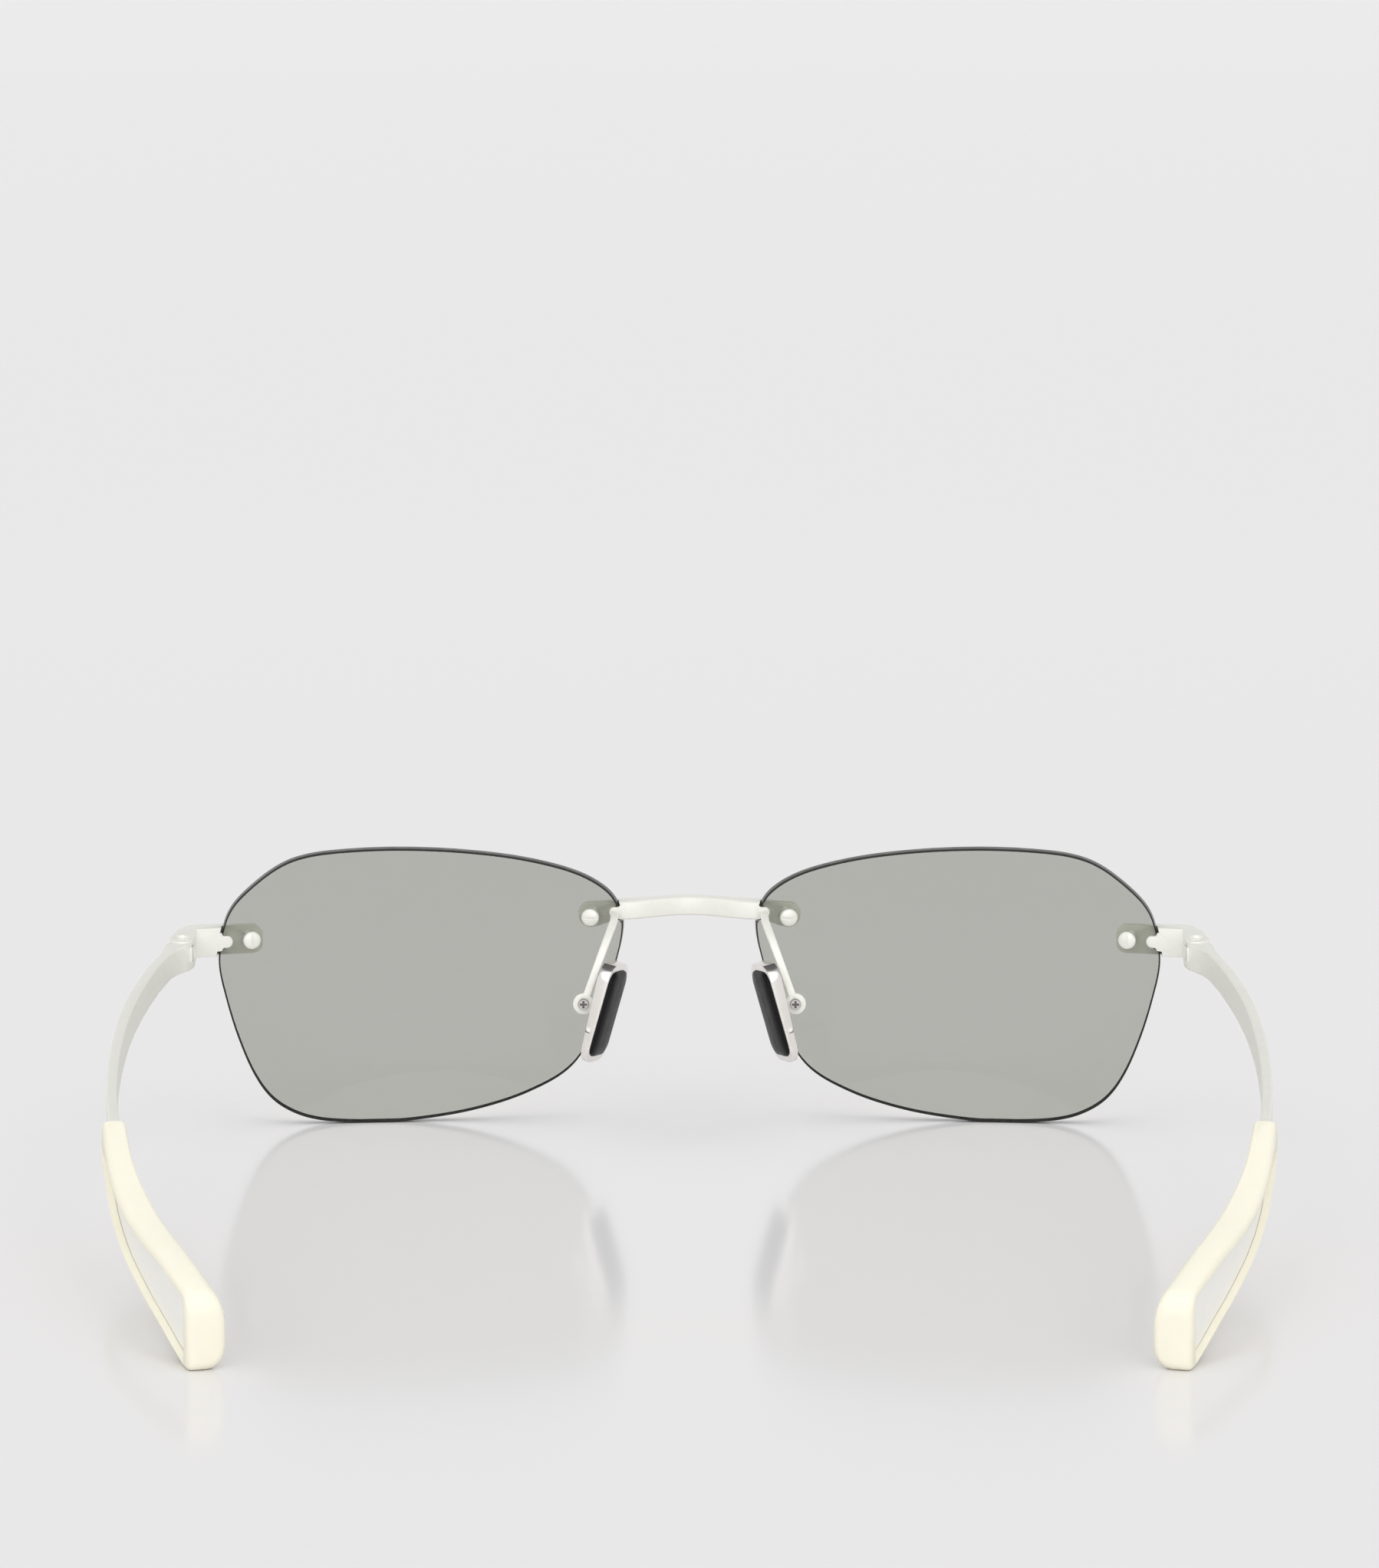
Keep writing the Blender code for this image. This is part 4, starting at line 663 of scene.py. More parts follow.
def lens_outline(drawn_in):
    """The lens's edge seen from the front, as (x, z)."""
    half_width = LENS_WIDTH / 2 - drawn_in
    half_height = LENS_HEIGHT / 2 - drawn_in
    corners = [Vector((x * half_width, z * half_height)) for x, z in LENS_OUTLINE_SHARES]
    points = []
    for i, start in enumerate(corners):
        before = corners[i - 1]
        end = corners[(i + 1) % len(corners)]
        after = corners[(i + 2) % len(corners)]
        for step in range(OUTLINE_STEPS):
            point = smooth_through(before, start, end, after, step / OUTLINE_STEPS)
            points.append((point.x, max(point.y, -half_height)))
    return points


def lens_rings():
    """Rings over the front, round the edge and over the rear. The edge narrows a little towards the rear."""
    lens = bpy.context.scene.sunglasses_lens
    bevel = lens.edge_bevel
    rear_scale = 1 - LENS_EDGE_LEAN * lens.thickness / lens.curve_radius

    def ring(drawn_in, share, surface, moved, scale=1.0):
        points = []
        for across, up in lens_outline(drawn_in):
            x = LENS_APEX.x + (LENS_CENTRE_X + across * share - LENS_APEX.x) * scale
            z = LENS_APEX.z + up * share * scale
            points.append(Vector((x, surface(x, z) + moved, z)))
        return points

    faces = [ring(bevel, share, lens_front, 0.0) for share in LENS_RING_SHARES]
    turns = [math.radians(angle) for angle in EDGE_ROUND_DEG]
    rounds = [(bevel * (1 - math.sin(turn)), bevel * (1 - math.cos(turn))) for turn in turns]
    edge = [ring(drawn_in, 1.0, lens_front, -sunk) for drawn_in, sunk in rounds]
    rear_edge = [ring(drawn_in, 1.0, lens_rear, sunk, rear_scale) for drawn_in, sunk in reversed(rounds)]
    rear = [ring(bevel, share, lens_rear, 0.0, rear_scale) for share in reversed(LENS_RING_SHARES)]
    return faces + edge + rear_edge + rear


def bolt_place(x, z):
    """A place on the lens's front: local Z runs back, square to the lens, and X away from the nose."""
    curve = bpy.context.scene.sunglasses_lens.curve_radius
    centre = LENS_APEX - Vector((0.0, curve, 0.0))
    at = Vector((x, lens_front(x, z), z))
    out = (at - centre).normalized()
    along = Vector((out.y, -out.x, 0.0)).normalized()
    place = Matrix((along, along.cross(out), -out)).transposed().to_4x4()
    place.translation = at
    return place


def notch_cutter(spot):
    """A slot with a round end and a flared mouth, through the lens."""
    x, z = BOLT_SPOTS[spot]
    turn = math.asin((x - LENS_APEX.x) / bpy.context.scene.sunglasses_lens.curve_radius)
    inset = x - LENS_GAP / 2 if spot == "nasal" else LENS_GAP / 2 + LENS_WIDTH - x
    radius = NOTCH_HEIGHT / 2
    mouth = inset - NOTCH_FLARE
    lower = [(mouth, -radius)]
    lower += [(mouth + NOTCH_FLARE * a, -radius - NOTCH_FLARE * b) for a, b in NOTCH_FLARE_SHARES]
    lower.append((inset + CUT_OVERRUN, -radius - NOTCH_FLARE))
    outline = arc((NOTCH_FROM_BOLT + radius, 0.0), radius, 90, 270, NOTCH_STEPS)
    outline += lower + [(a, -b) for a, b in reversed(lower)]
    if spot == "nasal":
        outline = [(-a, b) for a, b in outline]
    at = Matrix.Translation((x, lens_front(x, z), NOTCH_LEVELS[spot])) @ Matrix.Rotation(-turn, 4, "Z")
    depths = (CUT_OVERRUN, -bpy.context.scene.sunglasses_lens.thickness - CUT_OVERRUN)
    return lofted("notch cutter", [[at @ Vector((a, depth, b)) for a, b in outline] for depth in depths])


def mark_rim(piece):
    """Gives the rim's dark material, painted shade, to the edge and the notches' mouths. Walls near a bolt
    stay clear.
    """
    curve = bpy.context.scene.sunglasses_lens.curve_radius
    spots = [Vector(spot) for spot in BOLT_SPOTS.values()]
    for face in piece.data.polygons:
        centre = Vector((math.copysign(LENS_APEX.x, face.center.x), LENS_APEX.y - curve, LENS_APEX.z))
        out = (face.center - centre).normalized()
        seen = Vector((abs(face.center.x), face.center.z))
        by_bolt = min((seen - spot).length for spot in spots) < NOTCH_FROM_BOLT + NOTCH_HEIGHT / 2
        face.material_index = int(abs(face.normal.dot(out)) < RIM_ALIGNMENT and not by_bolt)


def make_lenses():
    lens = lofted("lens_clear_right", lens_rings())
    thickness = bpy.context.scene.sunglasses_lens.thickness
    for spot, (x, z) in BOLT_SPOTS.items():
        combine(lens, notch_cutter(spot), "DIFFERENCE")
        high = thickness + CUT_OVERRUN
        hole = drill("hole cutter", SLEEVE_RADIUS + RUNNING_GAP, -CUT_OVERRUN, high, bolt_place(x, z))
        combine(lens, hole, "DIFFERENCE")
    shade(lens, LENS_SHARP_DEG)
    for side, piece in (("right", lens), ("left", mirrored(lens, "lens_clear_left"))):
        # The rim's material is painted shade for the dark line along the lens's edge.
        settle(piece, f"lens_{side}", "front", [finish("smoke lens"), finish("lens rim shade")])
        mark_rim(piece)


# Bolts and screws


def threaded(radius, low, high):
    """A shank's profile from low to high with shallow thread crests."""
    count = int((high - low) / THREAD_PITCH)
    points = []
    for turn in range(count):
        start = low + turn * (high - low) / count
        points += [(radius - THREAD_DEPTH, start), (radius, start + (high - low) / count / 2)]
    return points


def slotted(piece, place, top, length, width, depth):
    """Cuts a straight slot down from the top of a head."""
    at = place @ Matrix.Translation((0.0, 0.0, top - depth / 2 + CUT_OVERRUN / 2))
    combine(piece, block(at, (length, width, depth + CUT_OVERRUN)), "DIFFERENCE")


def make_lens_bolts():
    rear = bpy.context.scene.sunglasses_lens.thickness + SEAT_GAP
    under_head = rear + SLEEVE_FLANGE + SEAT_GAP
    rim = under_head + BOLT_HEAD_RIM
    inner = BOLT_RADIUS + RUNNING_GAP
    for spot, (x, z) in BOLT_SPOTS.items():
        place = bolt_place(x, z)
        profile = [(0.0, -BOLT_BITE)] + threaded(BOLT_RADIUS, -BOLT_BITE, 0.0)
        profile += [(BOLT_RADIUS, 0.0), (BOLT_RADIUS, under_head), (BOLT_HEAD_RADIUS - SEAT_GAP, under_head)]
        profile += [(BOLT_HEAD_RADIUS, under_head + SEAT_GAP)]
        for angle in map(math.radians, BOLT_CROWN_DEG):
            profile.append((BOLT_HEAD_RADIUS * math.cos(angle), rim + BOLT_HEAD_CROWN * math.sin(angle)))
        profile.append((0.0, rim + BOLT_HEAD_CROWN))
        bolt = turned(f"{spot}_bolt_head_right", profile, place)
        across_head = 2 * (BOLT_HEAD_RADIUS + CUT_OVERRUN)
        sides = (SLOT_WIDTH, across_head) if spot == "temporal" else (across_head, SLOT_WIDTH)
        slotted(bolt, place, rim + BOLT_HEAD_CROWN, *sides, SLOT_DEPTH)
        round_edges(bolt, SLOT_EDGE)
        shade(bolt)
        wall = [
            (SLEEVE_RADIUS, SEAT_GAP),
            (SLEEVE_RADIUS, rear),
            (BOLT_HEAD_RADIUS, rear),
            (BOLT_HEAD_RADIUS, rear + SLEEVE_FLANGE),
            (inner, rear + SLEEVE_FLANGE),
            (inner, SEAT_GAP),
        ]
        sleeve = turned(f"{spot}_bush_right", wall, place, closed=True)
        shade(sleeve)
        for piece, node, slot, look in (
            (bolt, f"{spot}_bolt", "white_metal", "satin titanium"),
            (sleeve, f"{spot}_sleeve", "clear_nylon", "clear nylon"),
        ):
            other = mirrored(piece, piece.name.replace("right", "left"))
            settle(piece, f"{node}_right", "front", [finish(look)])
            settle(other, f"{node}_left", "front", [finish(look)])


def make_hinge_screws():
    place = Matrix.Translation(HINGE)
    seat = HINGE_SCREW_SEAT
    top = seat + HINGE_SCREW_HEAD
    profile = [(0.0, -HINGE_SCREW_LOW)] + threaded(HINGE_SCREW_RADIUS, -HINGE_SCREW_LOW, 0.0)
    profile += [(HINGE_SCREW_RADIUS, 0.0), (HINGE_SCREW_RADIUS, seat), (HINGE_SCREW_HEAD_RADIUS, seat)]
    profile += [(HINGE_SCREW_HEAD_RADIUS, top - HINGE_SCREW_CHAMFER)]
    profile += [(HINGE_SCREW_HEAD_RADIUS - HINGE_SCREW_CHAMFER, top), (0.0, top)]
    screw = turned("hinge_pin_screw_right", profile, place)
    slotted(screw, place, top, 2 * (HINGE_SCREW_HEAD_RADIUS + CUT_OVERRUN), SLOT_WIDTH, HINGE_SLOT_DEPTH)
    round_edges(screw, SLOT_EDGE)
    shade(screw)
    other = mirrored(screw, "hinge_pin_screw_left")
    settle(screw, "hinge_screw_right", "front", [finish("brushed tray steel")])
    settle(other, "hinge_screw_left", "front", [finish("brushed tray steel")])


# Nose pads


def pad_place():
    """A frame on the middle of the pad tray's back: X up along the pad, Y forwards, Z towards the nose."""
    lean = Matrix.Rotation(-math.radians(PAD_LEAN_DEG), 3, "Y")
    splay = math.radians(PAD_SPLAY_DEG)
    along = lean @ Vector((0.0, 0.0, 1.0))
    inwards = lean @ Vector((-math.cos(splay), -math.sin(splay), 0.0))
    place = Matrix((along, inwards.cross(along), inwards)).transposed().to_4x4()
    place.translation = PAD_RING - Vector((PAD_LUG_REACH, 0.0, PAD_LUG_RISE))
    return place


def ring_place():
    """A place on the pad arm's ring whose local Z runs backwards, out of the screw's head."""
    return Matrix.Translation(PAD_RING) @ Matrix.Rotation(math.radians(90), 4, "X")


def tray_rings():
    """The tray's back, its sides, its rim and the pocket for the cushion."""
    place = pad_place()
    soft = PAD_FRAME_EDGE

    def ring(length, width, corner, level, slanted=False):
        points = []
        for x, y in rounded_outline(length, width, corner):
            back = PAD_BACK_OUT + PAD_BACK_SLANT * 2 * x / PAD_FRAME_LENGTH if slanted else 0.0
            points.append(place @ Vector((x, y, level - back)))
        return points

    length, width, corner = PAD_FRAME_LENGTH, PAD_FRAME_WIDTH, PAD_FRAME_CORNER
    room = [size + 2 * SEAT_GAP for size in (PAD_CUSHION_LENGTH, PAD_CUSHION_WIDTH)]
    room_corner = PAD_CUSHION_CORNER + SEAT_GAP
    rings = [
        ring(length - 2 * soft, width - 2 * soft, corner - soft, 0.0, True),
        ring(length - soft / 2, width - soft / 2, corner - soft / 4, soft / 2, True),
        ring(length, width, corner, soft * 1.5, True),
        ring(length, width, corner, PAD_FRAME_DEPTH - soft),
        ring(length - soft / 2, width - soft / 2, corner - soft / 4, PAD_FRAME_DEPTH - soft / 4),
        ring(length - 2 * soft, width - 2 * soft, corner - soft, PAD_FRAME_DEPTH),
        ring(room[0] + soft, room[1] + soft, room_corner + soft / 2, PAD_FRAME_DEPTH),
        ring(room[0], room[1], room_corner, PAD_FRAME_DEPTH - soft / 2),
        ring(room[0], room[1], room_corner, PAD_FRAME_FLOOR),
    ]
    return rings


def make_pad_trays():
    tray = lofted("pad_tray_right", tray_rings())
    at = ring_place()
    front = -ARM_RING_THICKNESS / 2 - SEAT_GAP
    half = PAD_LUG_NECK / 2
    reach = PAD_LUG_REACH + PAD_FRAME_DEPTH / 2
    neck = -PAD_LUG_RADIUS / 2
    outline = arc((0.0, 0.0), PAD_LUG_RADIUS, 90, -90, LUG_STEPS)
    outline += [(neck, -half), (-reach, -half), (-reach, half), (neck, half)]
    levels = (front - PAD_LUG_THICKNESS, front)
    lug = lofted("lug", [[at @ Vector((x, y, level)) for x, y in outline] for level in levels])
    combine(tray, lug, "UNION")
    bore = drill("lug bore", PAD_SCREW_RADIUS + RUNNING_GAP, levels[0] - CUT_OVERRUN, CUT_OVERRUN, at)
    combine(tray, bore, "DIFFERENCE")
    groove = Vector((PAD_GROOVE_FROM_END - PAD_FRAME_LENGTH / 2, -PAD_FRAME_WIDTH / 2, -PAD_BACK_OUT))
    cut_at = pad_place() @ Matrix.Translation(groove) @ Matrix.Rotation(math.radians(45), 4, "Z")
    cut_side = PAD_GROOVE_WIDTH / math.sqrt(2)
    combine(tray, block(cut_at, (cut_side, cut_side, PAD_GROOVE_REACH)), "DIFFERENCE")
    shade(tray)
    other = mirrored(tray, "pad_tray_left")
    for side, piece in (("right", tray), ("left", other)):
        settle(piece, f"pad_frame_{side}", f"{side}_nose_pad", [finish("brushed tray steel")])


def make_pad_cushions():
    place = pad_place()
    low = PAD_FRAME_FLOOR + SEAT_GAP
    rim = PAD_FRAME_DEPTH + PAD_CUSHION_PROUD
    levels = [(0.0, low), (0.0, rim)]
    levels += [(drawn_in, rim + PAD_CUSHION_CROWN * risen) for drawn_in, risen in PAD_CROWN_SHARES]
    rings = []
    for share, level in levels:
        drawn_in = share * PAD_CUSHION_CORNER
        length, width = PAD_CUSHION_LENGTH - drawn_in, PAD_CUSHION_WIDTH - drawn_in
        outline = rounded_outline(length, width, PAD_CUSHION_CORNER)
        rings.append([place @ Vector((x, y, level)) for x, y in outline])
    cushion = lofted("pad_rubber_right", rings)
    shade(cushion, CUSHION_SHARP_DEG)
    other = mirrored(cushion, "pad_rubber_left")
    for side, piece in (("right", cushion), ("left", other)):
        settle(piece, f"pad_cushion_{side}", f"{side}_nose_pad", [finish("black rubber")])


def make_pad_screws():
    place = ring_place()
    under_head = ARM_RING_THICKNESS / 2 + SEAT_GAP
    low = -ARM_RING_THICKNESS / 2 - SEAT_GAP - PAD_LUG_THICKNESS
    top = under_head + PAD_SCREW_HEAD
    profile = [(0.0, low)] + threaded(PAD_SCREW_RADIUS, low, -ARM_RING_THICKNESS / 2)
    profile += [(PAD_SCREW_RADIUS, -ARM_RING_THICKNESS / 2), (PAD_SCREW_RADIUS, under_head)]
    profile += [(PAD_SCREW_HEAD_RADIUS, under_head)]
    for angle in map(math.radians, PAD_SCREW_ROUND_DEG):
        out = PAD_SCREW_HEAD_RADIUS - PAD_SCREW_HEAD_EDGE * (1 - math.cos(angle))
        profile.append((out, top - PAD_SCREW_HEAD_EDGE * (1 - math.sin(angle))))
    profile.append((0.0, top))
    screw = turned("pad_cross_screw_right", profile, place)
    for turn in (0, 90):
        at = place @ Matrix.Rotation(math.radians(turn), 4, "Z")
        slotted(screw, at, top, RECESS_LENGTH, RECESS_WIDTH, RECESS_DEPTH)
    shade(screw)
    other = mirrored(screw, "pad_cross_screw_left")
    for side, piece in (("right", screw), ("left", other)):
        # Every face but the head's flat top gets the dark steel: painted shade in the cross recess and on the
        # head's rounded edge.
        looks = [finish("screw steel"), finish("screw shade steel")]
        settle(piece, f"pad_screw_{side}", f"{side}_nose_pad", looks)
        top_y = PAD_RING.y - top
        for face in piece.data.polygons:
            face.material_index = int(face.center.y > top_y + SEAT_GAP)


# Metalwork and tips that keep the frame's shape


def make_metalwork():
    """The bridge, the endpieces, the pad arms and the temples."""
    edge = bpy.context.scene.sunglasses_finish.metal_edge
    metal = [finish("satin titanium")]
    settle(refined("bridge_bar", "bridge", edge), "bridge", "front", metal)
    for side in SIDES:
        for name, node in (("hinge_block", "endpiece"), ("pad_wire", "pad_arm")):
            piece = refined(f"{name}_{side}", f"{node}_{side}", edge)
            settle(piece, f"{node}_{side}", "front", metal)
        blade = refined(f"temple_blade_{side}", f"temple_{side}", edge)
        settle(blade, f"temple_{side}", f"{side}_temple", metal + [finish("core painted light")])
        # Faces inside the tips get the lighter core finish: painted light for the brighter light on the tips'
        # outer sides.
        tip_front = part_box(f"temple_tip_{side}")[1][1]
        for face in blade.data.polygons:
            face.material_index = int(face.center.y < tip_front)


def make_tips():
    edge = bpy.context.scene.sunglasses_finish.rubber_edge
    for side in SIDES:
        tip = refined(f"temple_grip_{side}", f"temple_tip_{side}", edge)
        settle(tip, f"temple_tip_{side}", f"{side}_temple", [finish("cream rubber")])


# Studio


def make_floor():
    studio = bpy.context.scene.sunglasses_studio
    select_only(None)
    bpy.ops.mesh.primitive_plane_add(size=studio.floor_size)
    floor = bpy.context.object
    floor.name = "studio_floor"
    material, _, shader = empty_material("pale floor")
    shader.inputs["Base Color"].default_value = (*studio.floor_color, 1.0)
    shader.inputs["Roughness"].default_value = studio.floor_roughness
    shader.inputs["Specular IOR Level"].default_value = studio.floor_gloss
    floor.data.materials.append(material)


def make_world():
    studio = bpy.context.scene.sunglasses_studio
    world = bpy.data.worlds.new("pale studio")
    bpy.context.scene.world = world
    world.use_nodes = True
    nodes, links = world.node_tree.nodes, world.node_tree.links
    nodes.clear()
    output = nodes.new("ShaderNodeOutputWorld")
    mix = nodes.new("ShaderNodeMixShader")
    lit = nodes.new("ShaderNodeBackground")
    lit.inputs["Color"].default_value = (*studio.light_color, 1.0)
    lit.inputs["Strength"].default_value = studio.world_strength
    seen = nodes.new("ShaderNodeBackground")
    direction = nodes.new("ShaderNodeTexCoord")
    split = nodes.new("ShaderNodeSeparateXYZ")
    height = nodes.new("ShaderNodeMapRange")
    height.interpolation_type = "SMOOTHSTEP"
    height.inputs["From Min"].default_value = BACKDROP_TOP
    height.inputs["From Max"].default_value = CEILING_START
    shade_of = nodes.new("ShaderNodeMix")
    shade_of.data_type = "RGBA"
    shade_of.inputs[MIX_FIRST].default_value = (*studio.backdrop_color, 1.0)
    shade_of.inputs[MIX_SECOND].default_value = (*studio.ceiling_color, 1.0)
    links.new(direction.outputs["Generated"], split.inputs["Vector"])
    links.new(split.outputs["Z"], height.inputs["Value"])
    links.new(height.outputs["Result"], shade_of.inputs[MIX_FACTOR])
    links.new(shade_of.outputs[MIX_RESULT], seen.inputs["Color"])
    path = nodes.new("ShaderNodeLightPath")
    camera_or_glossy = nodes.new("ShaderNodeMath")
    camera_or_glossy.operation = "MAXIMUM"
    any_seen = nodes.new("ShaderNodeMath")
    any_seen.operation = "MAXIMUM"
    links.new(path.outputs["Is Camera Ray"], camera_or_glossy.inputs[0])
    links.new(path.outputs["Is Glossy Ray"], camera_or_glossy.inputs[1])
    links.new(camera_or_glossy.outputs["Value"], any_seen.inputs[0])
    links.new(path.outputs["Is Transmission Ray"], any_seen.inputs[1])
    links.new(any_seen.outputs["Value"], mix.inputs["Fac"])
    links.new(lit.outputs["Background"], mix.inputs[FIRST_SHADER])
    links.new(seen.outputs["Background"], mix.inputs[SECOND_SHADER])
    links.new(mix.outputs["Shader"], output.inputs["Surface"])


def add_sun(name, strength, spread_deg, azimuth_deg, elevation_deg):
    """A broad soft light from a direction."""
    light = bpy.data.lights.new(name, "SUN")
    light.energy = strength
    light.angle = math.radians(spread_deg)
    light.color = bpy.context.scene.sunglasses_studio.light_color
    lamp = bpy.data.objects.new(name, light)
    bpy.context.scene.collection.objects.link(lamp)
    azimuth, elevation = math.radians(azimuth_deg), math.radians(elevation_deg)
    towards = Vector(
        (
            -math.sin(azimuth) * math.cos(elevation),
            math.cos(azimuth) * math.cos(elevation),
            -math.sin(elevation),
        )
    )
    lamp.rotation_mode = "QUATERNION"
    lamp.rotation_quaternion = towards.to_track_quat("-Z", "Y")


def make_camera():
    camera = bpy.data.cameras.new("camera")
    camera.sensor_width = SENSOR_WIDTH_MM
    camera.lens = SENSOR_WIDTH_MM * FOCAL_LENGTH_PX / max(IMAGE_WIDTH_PX, IMAGE_HEIGHT_PX)
    item = bpy.data.objects.new("camera", camera)
    bpy.context.scene.collection.objects.link(item)
    item.location = (0.0, LENS_APEX.y - CAMERA_BEHIND_LENS, CAMERA_HEIGHT)
    item.rotation_euler = (math.radians(90 - CAMERA_PITCH_DEG), 0.0, 0.0)
    bpy.context.scene.camera = item


# Settings


class SunglassesLensSettings(bpy.types.PropertyGroup):
    curve_radius: bpy.props.FloatProperty(
        name="Curve radius",
        description="Radius of the lens's front surface",
        default=115.0 * MM,
        unit="LENGTH",
    )
    thickness: bpy.props.FloatProperty(
        name="Thickness",
        description="Thickness of the lens",
        default=2.0 * MM,
        unit="LENGTH",
    )
    edge_bevel: bpy.props.FloatProperty(
        name="Edge bevel",
        description="Width of the rounding along the lens's edge",
        default=0.2 * MM,
        unit="LENGTH",
    )


def color_property(name, description, default):
    return bpy.props.FloatVectorProperty(
        name=name, description=description, default=default, subtype="COLOR", size=3, min=0.0, max=1.0
    )


class SunglassesFinishSettings(bpy.types.PropertyGroup):
    lens_tint: color_property("Lens tint", "Colour of what is seen through a lens", (0.535, 0.548, 0.508))
    # Painted shade: the real edge is clear tinted plastic that looks dark as light runs through it
    # lengthwise.
    lens_rim_shade: color_property("Lens rim shade", "Colour of the lens's polished edge", (0.024, 0.024, 0.022))
    titanium: color_property("Titanium", "Colour of bridge, endpieces and temples", (0.915, 0.915, 0.855))
    # Painted light: the cores are the temples' own metal, drawn lighter for the brighter light on the tips'
    # outer sides.
    core_painted_light: color_property("Core painted light", "Colour of the temples' cores in the tips", (1.0, 0.995, 0.955))
    tray_steel: color_property("Tray steel", "Colour of the nose pads' metal trays", (0.9, 0.875, 0.85))
    screw_steel: color_property("Screw steel", "Colour of the nose pads' screws", (0.5, 0.49, 0.475))
    # Painted shade for the cross recesses and the heads' rounded edges.
    recess_shade: color_property("Recess shade", "Colour in the screws' cross recess", (0.13, 0.125, 0.12))
    tip_rubber: color_property("Tip rubber", "Colour of the temple tips", (0.98, 0.935, 0.78))
    cushion_rubber: color_property("Cushion rubber", "Colour of the nose pads' rubber", (0.008, 0.008, 0.008))
    nylon: color_property("Nylon", "Colour of the bushes in the lens holes", (0.9, 0.9, 0.88))
    metal_edge: bpy.props.FloatProperty(
        name="Metal edge rounding",
        description="Width of the rounding on the metal pieces' edges",
        default=0.05 * MM,
        unit="LENGTH",
    )
    rubber_edge: bpy.props.FloatProperty(
        name="Rubber edge rounding",
        description="Width of the rounding on the temple tips' edges",
        default=0.14 * MM,
        unit="LENGTH",
    )


class SunglassesStudioSettings(bpy.types.PropertyGroup):
    floor_size: bpy.props.FloatProperty(
        name="Floor size",
        description="Length of each side of the floor",
        default=14.0,
        unit="LENGTH",
    )
    floor_color: color_property("Floor colour", "Colour of the floor", (0.77, 0.76, 0.765))
    floor_roughness: bpy.props.FloatProperty(
        name="Floor roughness",
        description="How blurred the floor's reflection is",
        default=0.13,
        min=0.0,
        max=1.0,
    )
    floor_gloss: bpy.props.FloatProperty(
        name="Floor gloss", description="How much the floor reflects", default=0.35, min=0.0, max=1.0
    )
    backdrop_color: color_property("Backdrop colour", "Colour of the walls that are seen", (0.83, 0.82, 0.82))
    ceiling_color: color_property("Ceiling colour", "Colour of the ceiling in reflections", (0.1, 0.1, 0.1))
    light_color: color_property("Light colour", "Colour of the light", (1.0, 1.0, 1.0))
    world_strength: bpy.props.FloatProperty(
        name="Room light", description="Strength of the light from all round", default=0.74, min=0.0
    )
    key_strength: bpy.props.FloatProperty(
        name="Key light",
        description="Strength of the broad light from behind the camera",
        default=1.12,
        min=0.0,
    )
    side_strength: bpy.props.FloatProperty(
        name="Side lights",
        description="Strength of the broad lights from the left and right",
        default=0.25,
        min=0.0,
    )


class SUNGLASSES_OT_add_lenses(bpy.types.Operator):
    """Make both lenses, with their holes and notches"""

    bl_idname = "sunglasses.add_lenses"
    bl_label = "Add Lenses"

    def execute(self, context):
        make_lenses()
        return {"FINISHED"}


class SUNGLASSES_OT_add_bolts(bpy.types.Operator):
    """Make the lens bolts, their bushes and the hinge screws"""

    bl_idname = "sunglasses.add_bolts"
    bl_label = "Add Bolts and Screws"

    def execute(self, context):
        make_lens_bolts()
        make_hinge_screws()
        return {"FINISHED"}


class SUNGLASSES_OT_add_metalwork(bpy.types.Operator):
    """Make the bridge, the endpieces, the pad arms and the temples"""

    bl_idname = "sunglasses.add_metalwork"
    bl_label = "Add Metalwork"

    def execute(self, context):
        make_metalwork()
        return {"FINISHED"}


class SUNGLASSES_OT_add_tips(bpy.types.Operator):
    """Make the rubber tips of the temples"""

    bl_idname = "sunglasses.add_tips"
    bl_label = "Add Temple Tips"

    def execute(self, context):
        make_tips()
        return {"FINISHED"}


class SUNGLASSES_OT_add_nose_pads(bpy.types.Operator):
    """Make the nose pads: trays, cushions and screws"""

    bl_idname = "sunglasses.add_nose_pads"
    bl_label = "Add Nose Pads"

    def execute(self, context):
        make_pad_trays()
        make_pad_cushions()
        make_pad_screws()
        return {"FINISHED"}


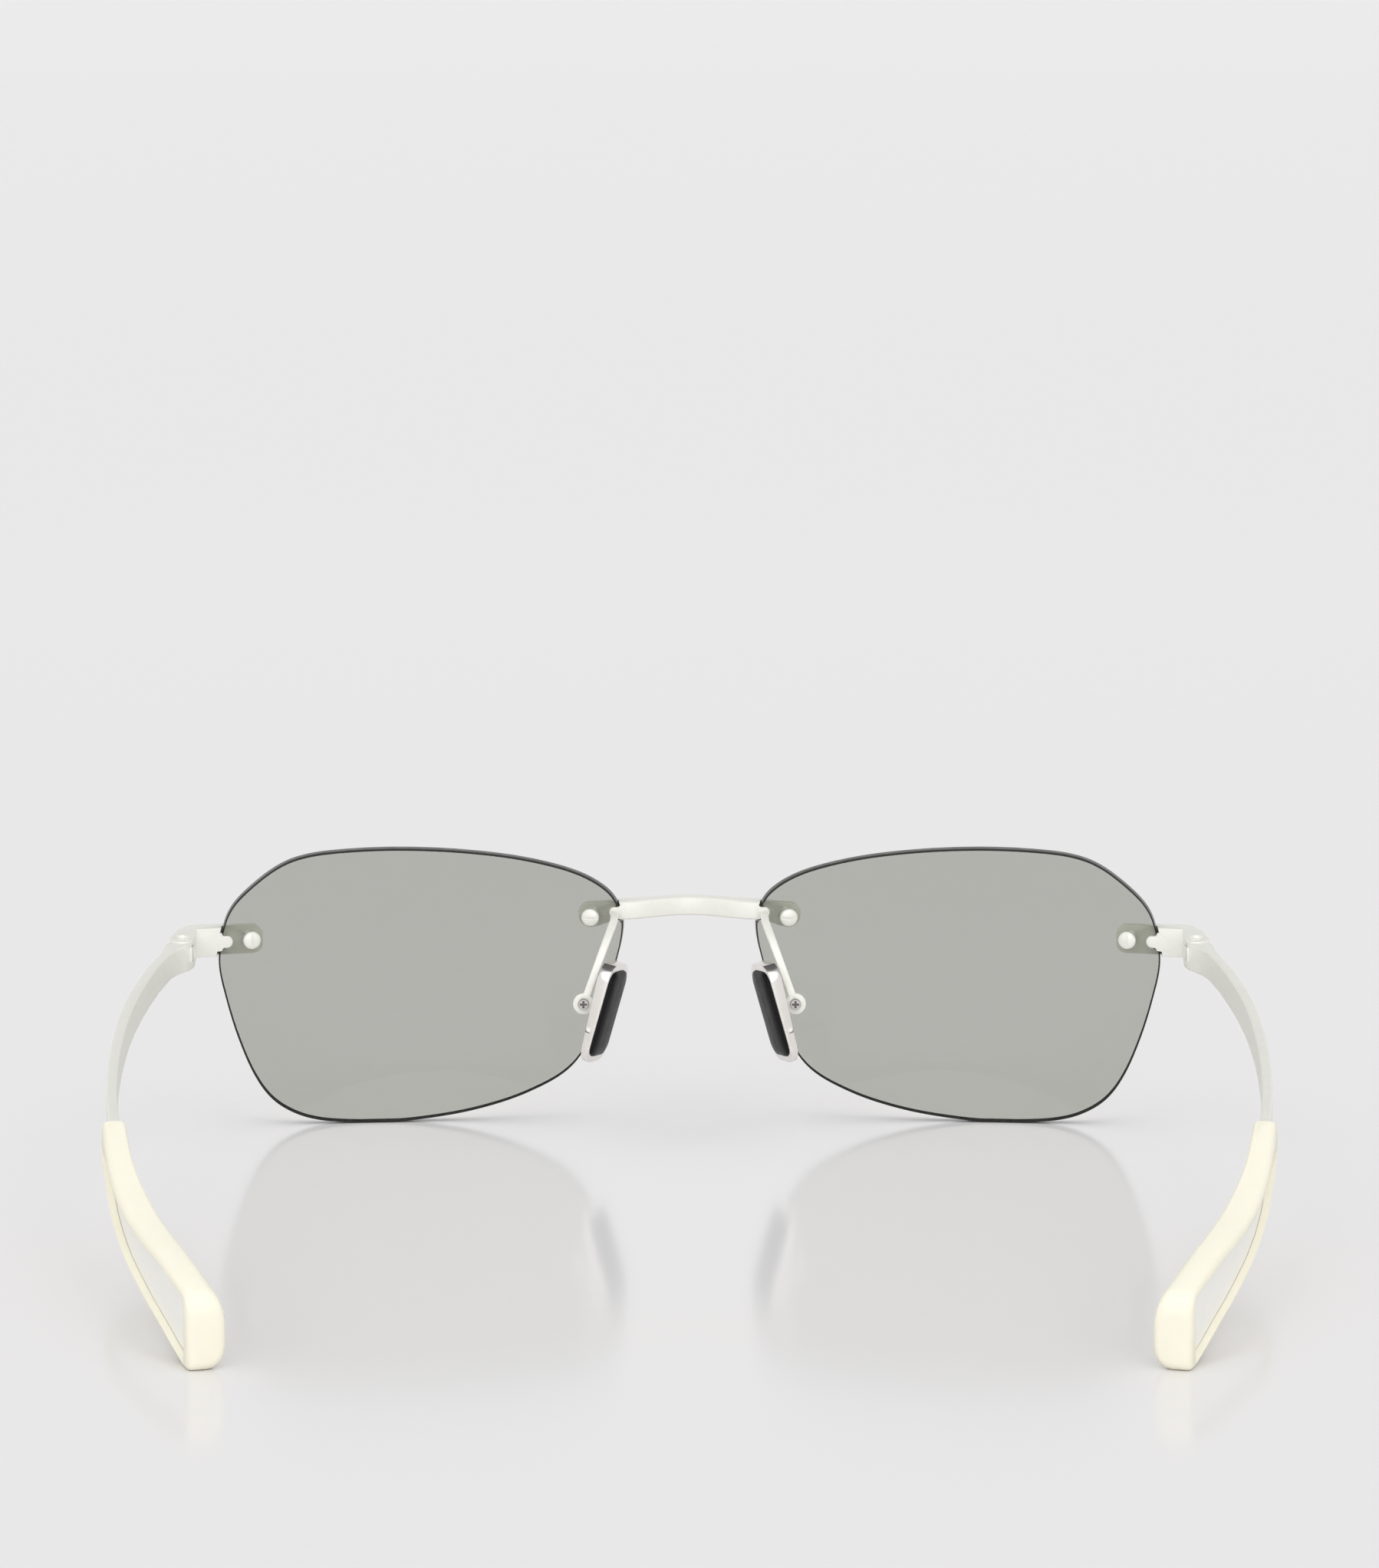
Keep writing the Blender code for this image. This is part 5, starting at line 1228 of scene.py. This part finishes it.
class SUNGLASSES_OT_add_studio(bpy.types.Operator):
    """Make the floor, the lights and the camera"""

    bl_idname = "sunglasses.add_studio"
    bl_label = "Add Studio"

    def execute(self, context):
        studio = context.scene.sunglasses_studio
        make_floor()
        make_world()
        add_sun("key light", studio.key_strength, *KEY_LIGHT)
        add_sun("left light", studio.side_strength, *LEFT_LIGHT)
        add_sun("right light", studio.side_strength, *RIGHT_LIGHT)
        make_camera()
        context.scene.view_settings.view_transform = "Standard"
        return {"FINISHED"}


class SUNGLASSES_PT_panel(bpy.types.Panel):
    """Buttons and settings for the sunglasses"""

    bl_label = "Sunglasses"
    bl_idname = "SUNGLASSES_PT_panel"
    bl_space_type = "VIEW_3D"
    bl_region_type = "UI"
    bl_category = "Sunglasses"

    def draw(self, context):
        layout = self.layout
        for operator in OPERATORS:
            layout.operator(operator.bl_idname)
        for name in GROUPS:
            settings = getattr(context.scene, name)
            for prop in settings.bl_rna.properties:
                if prop.identifier not in ("rna_type", "name"):
                    layout.prop(settings, prop.identifier)


OPERATORS = (
    SUNGLASSES_OT_add_lenses,
    SUNGLASSES_OT_add_bolts,
    SUNGLASSES_OT_add_metalwork,
    SUNGLASSES_OT_add_tips,
    SUNGLASSES_OT_add_nose_pads,
    SUNGLASSES_OT_add_studio,
)
GROUPS = {
    "sunglasses_lens": SunglassesLensSettings,
    "sunglasses_finish": SunglassesFinishSettings,
    "sunglasses_studio": SunglassesStudioSettings,
}


def register():
    for name, group in GROUPS.items():
        bpy.utils.register_class(group)
        setattr(bpy.types.Scene, name, bpy.props.PointerProperty(type=group))
    for item in (*OPERATORS, SUNGLASSES_PT_panel):
        bpy.utils.register_class(item)


def unregister():
    for item in reversed((*OPERATORS, SUNGLASSES_PT_panel)):
        bpy.utils.unregister_class(item)
    for name, group in GROUPS.items():
        delattr(bpy.types.Scene, name)
        bpy.utils.unregister_class(group)


def main():
    register()
    bpy.ops.sunglasses.add_lenses()
    bpy.ops.sunglasses.add_bolts()
    bpy.ops.sunglasses.add_metalwork()
    bpy.ops.sunglasses.add_tips()
    bpy.ops.sunglasses.add_nose_pads()
    bpy.ops.sunglasses.add_studio()
    select_only(None)


if __name__ == "__main__":
    main()
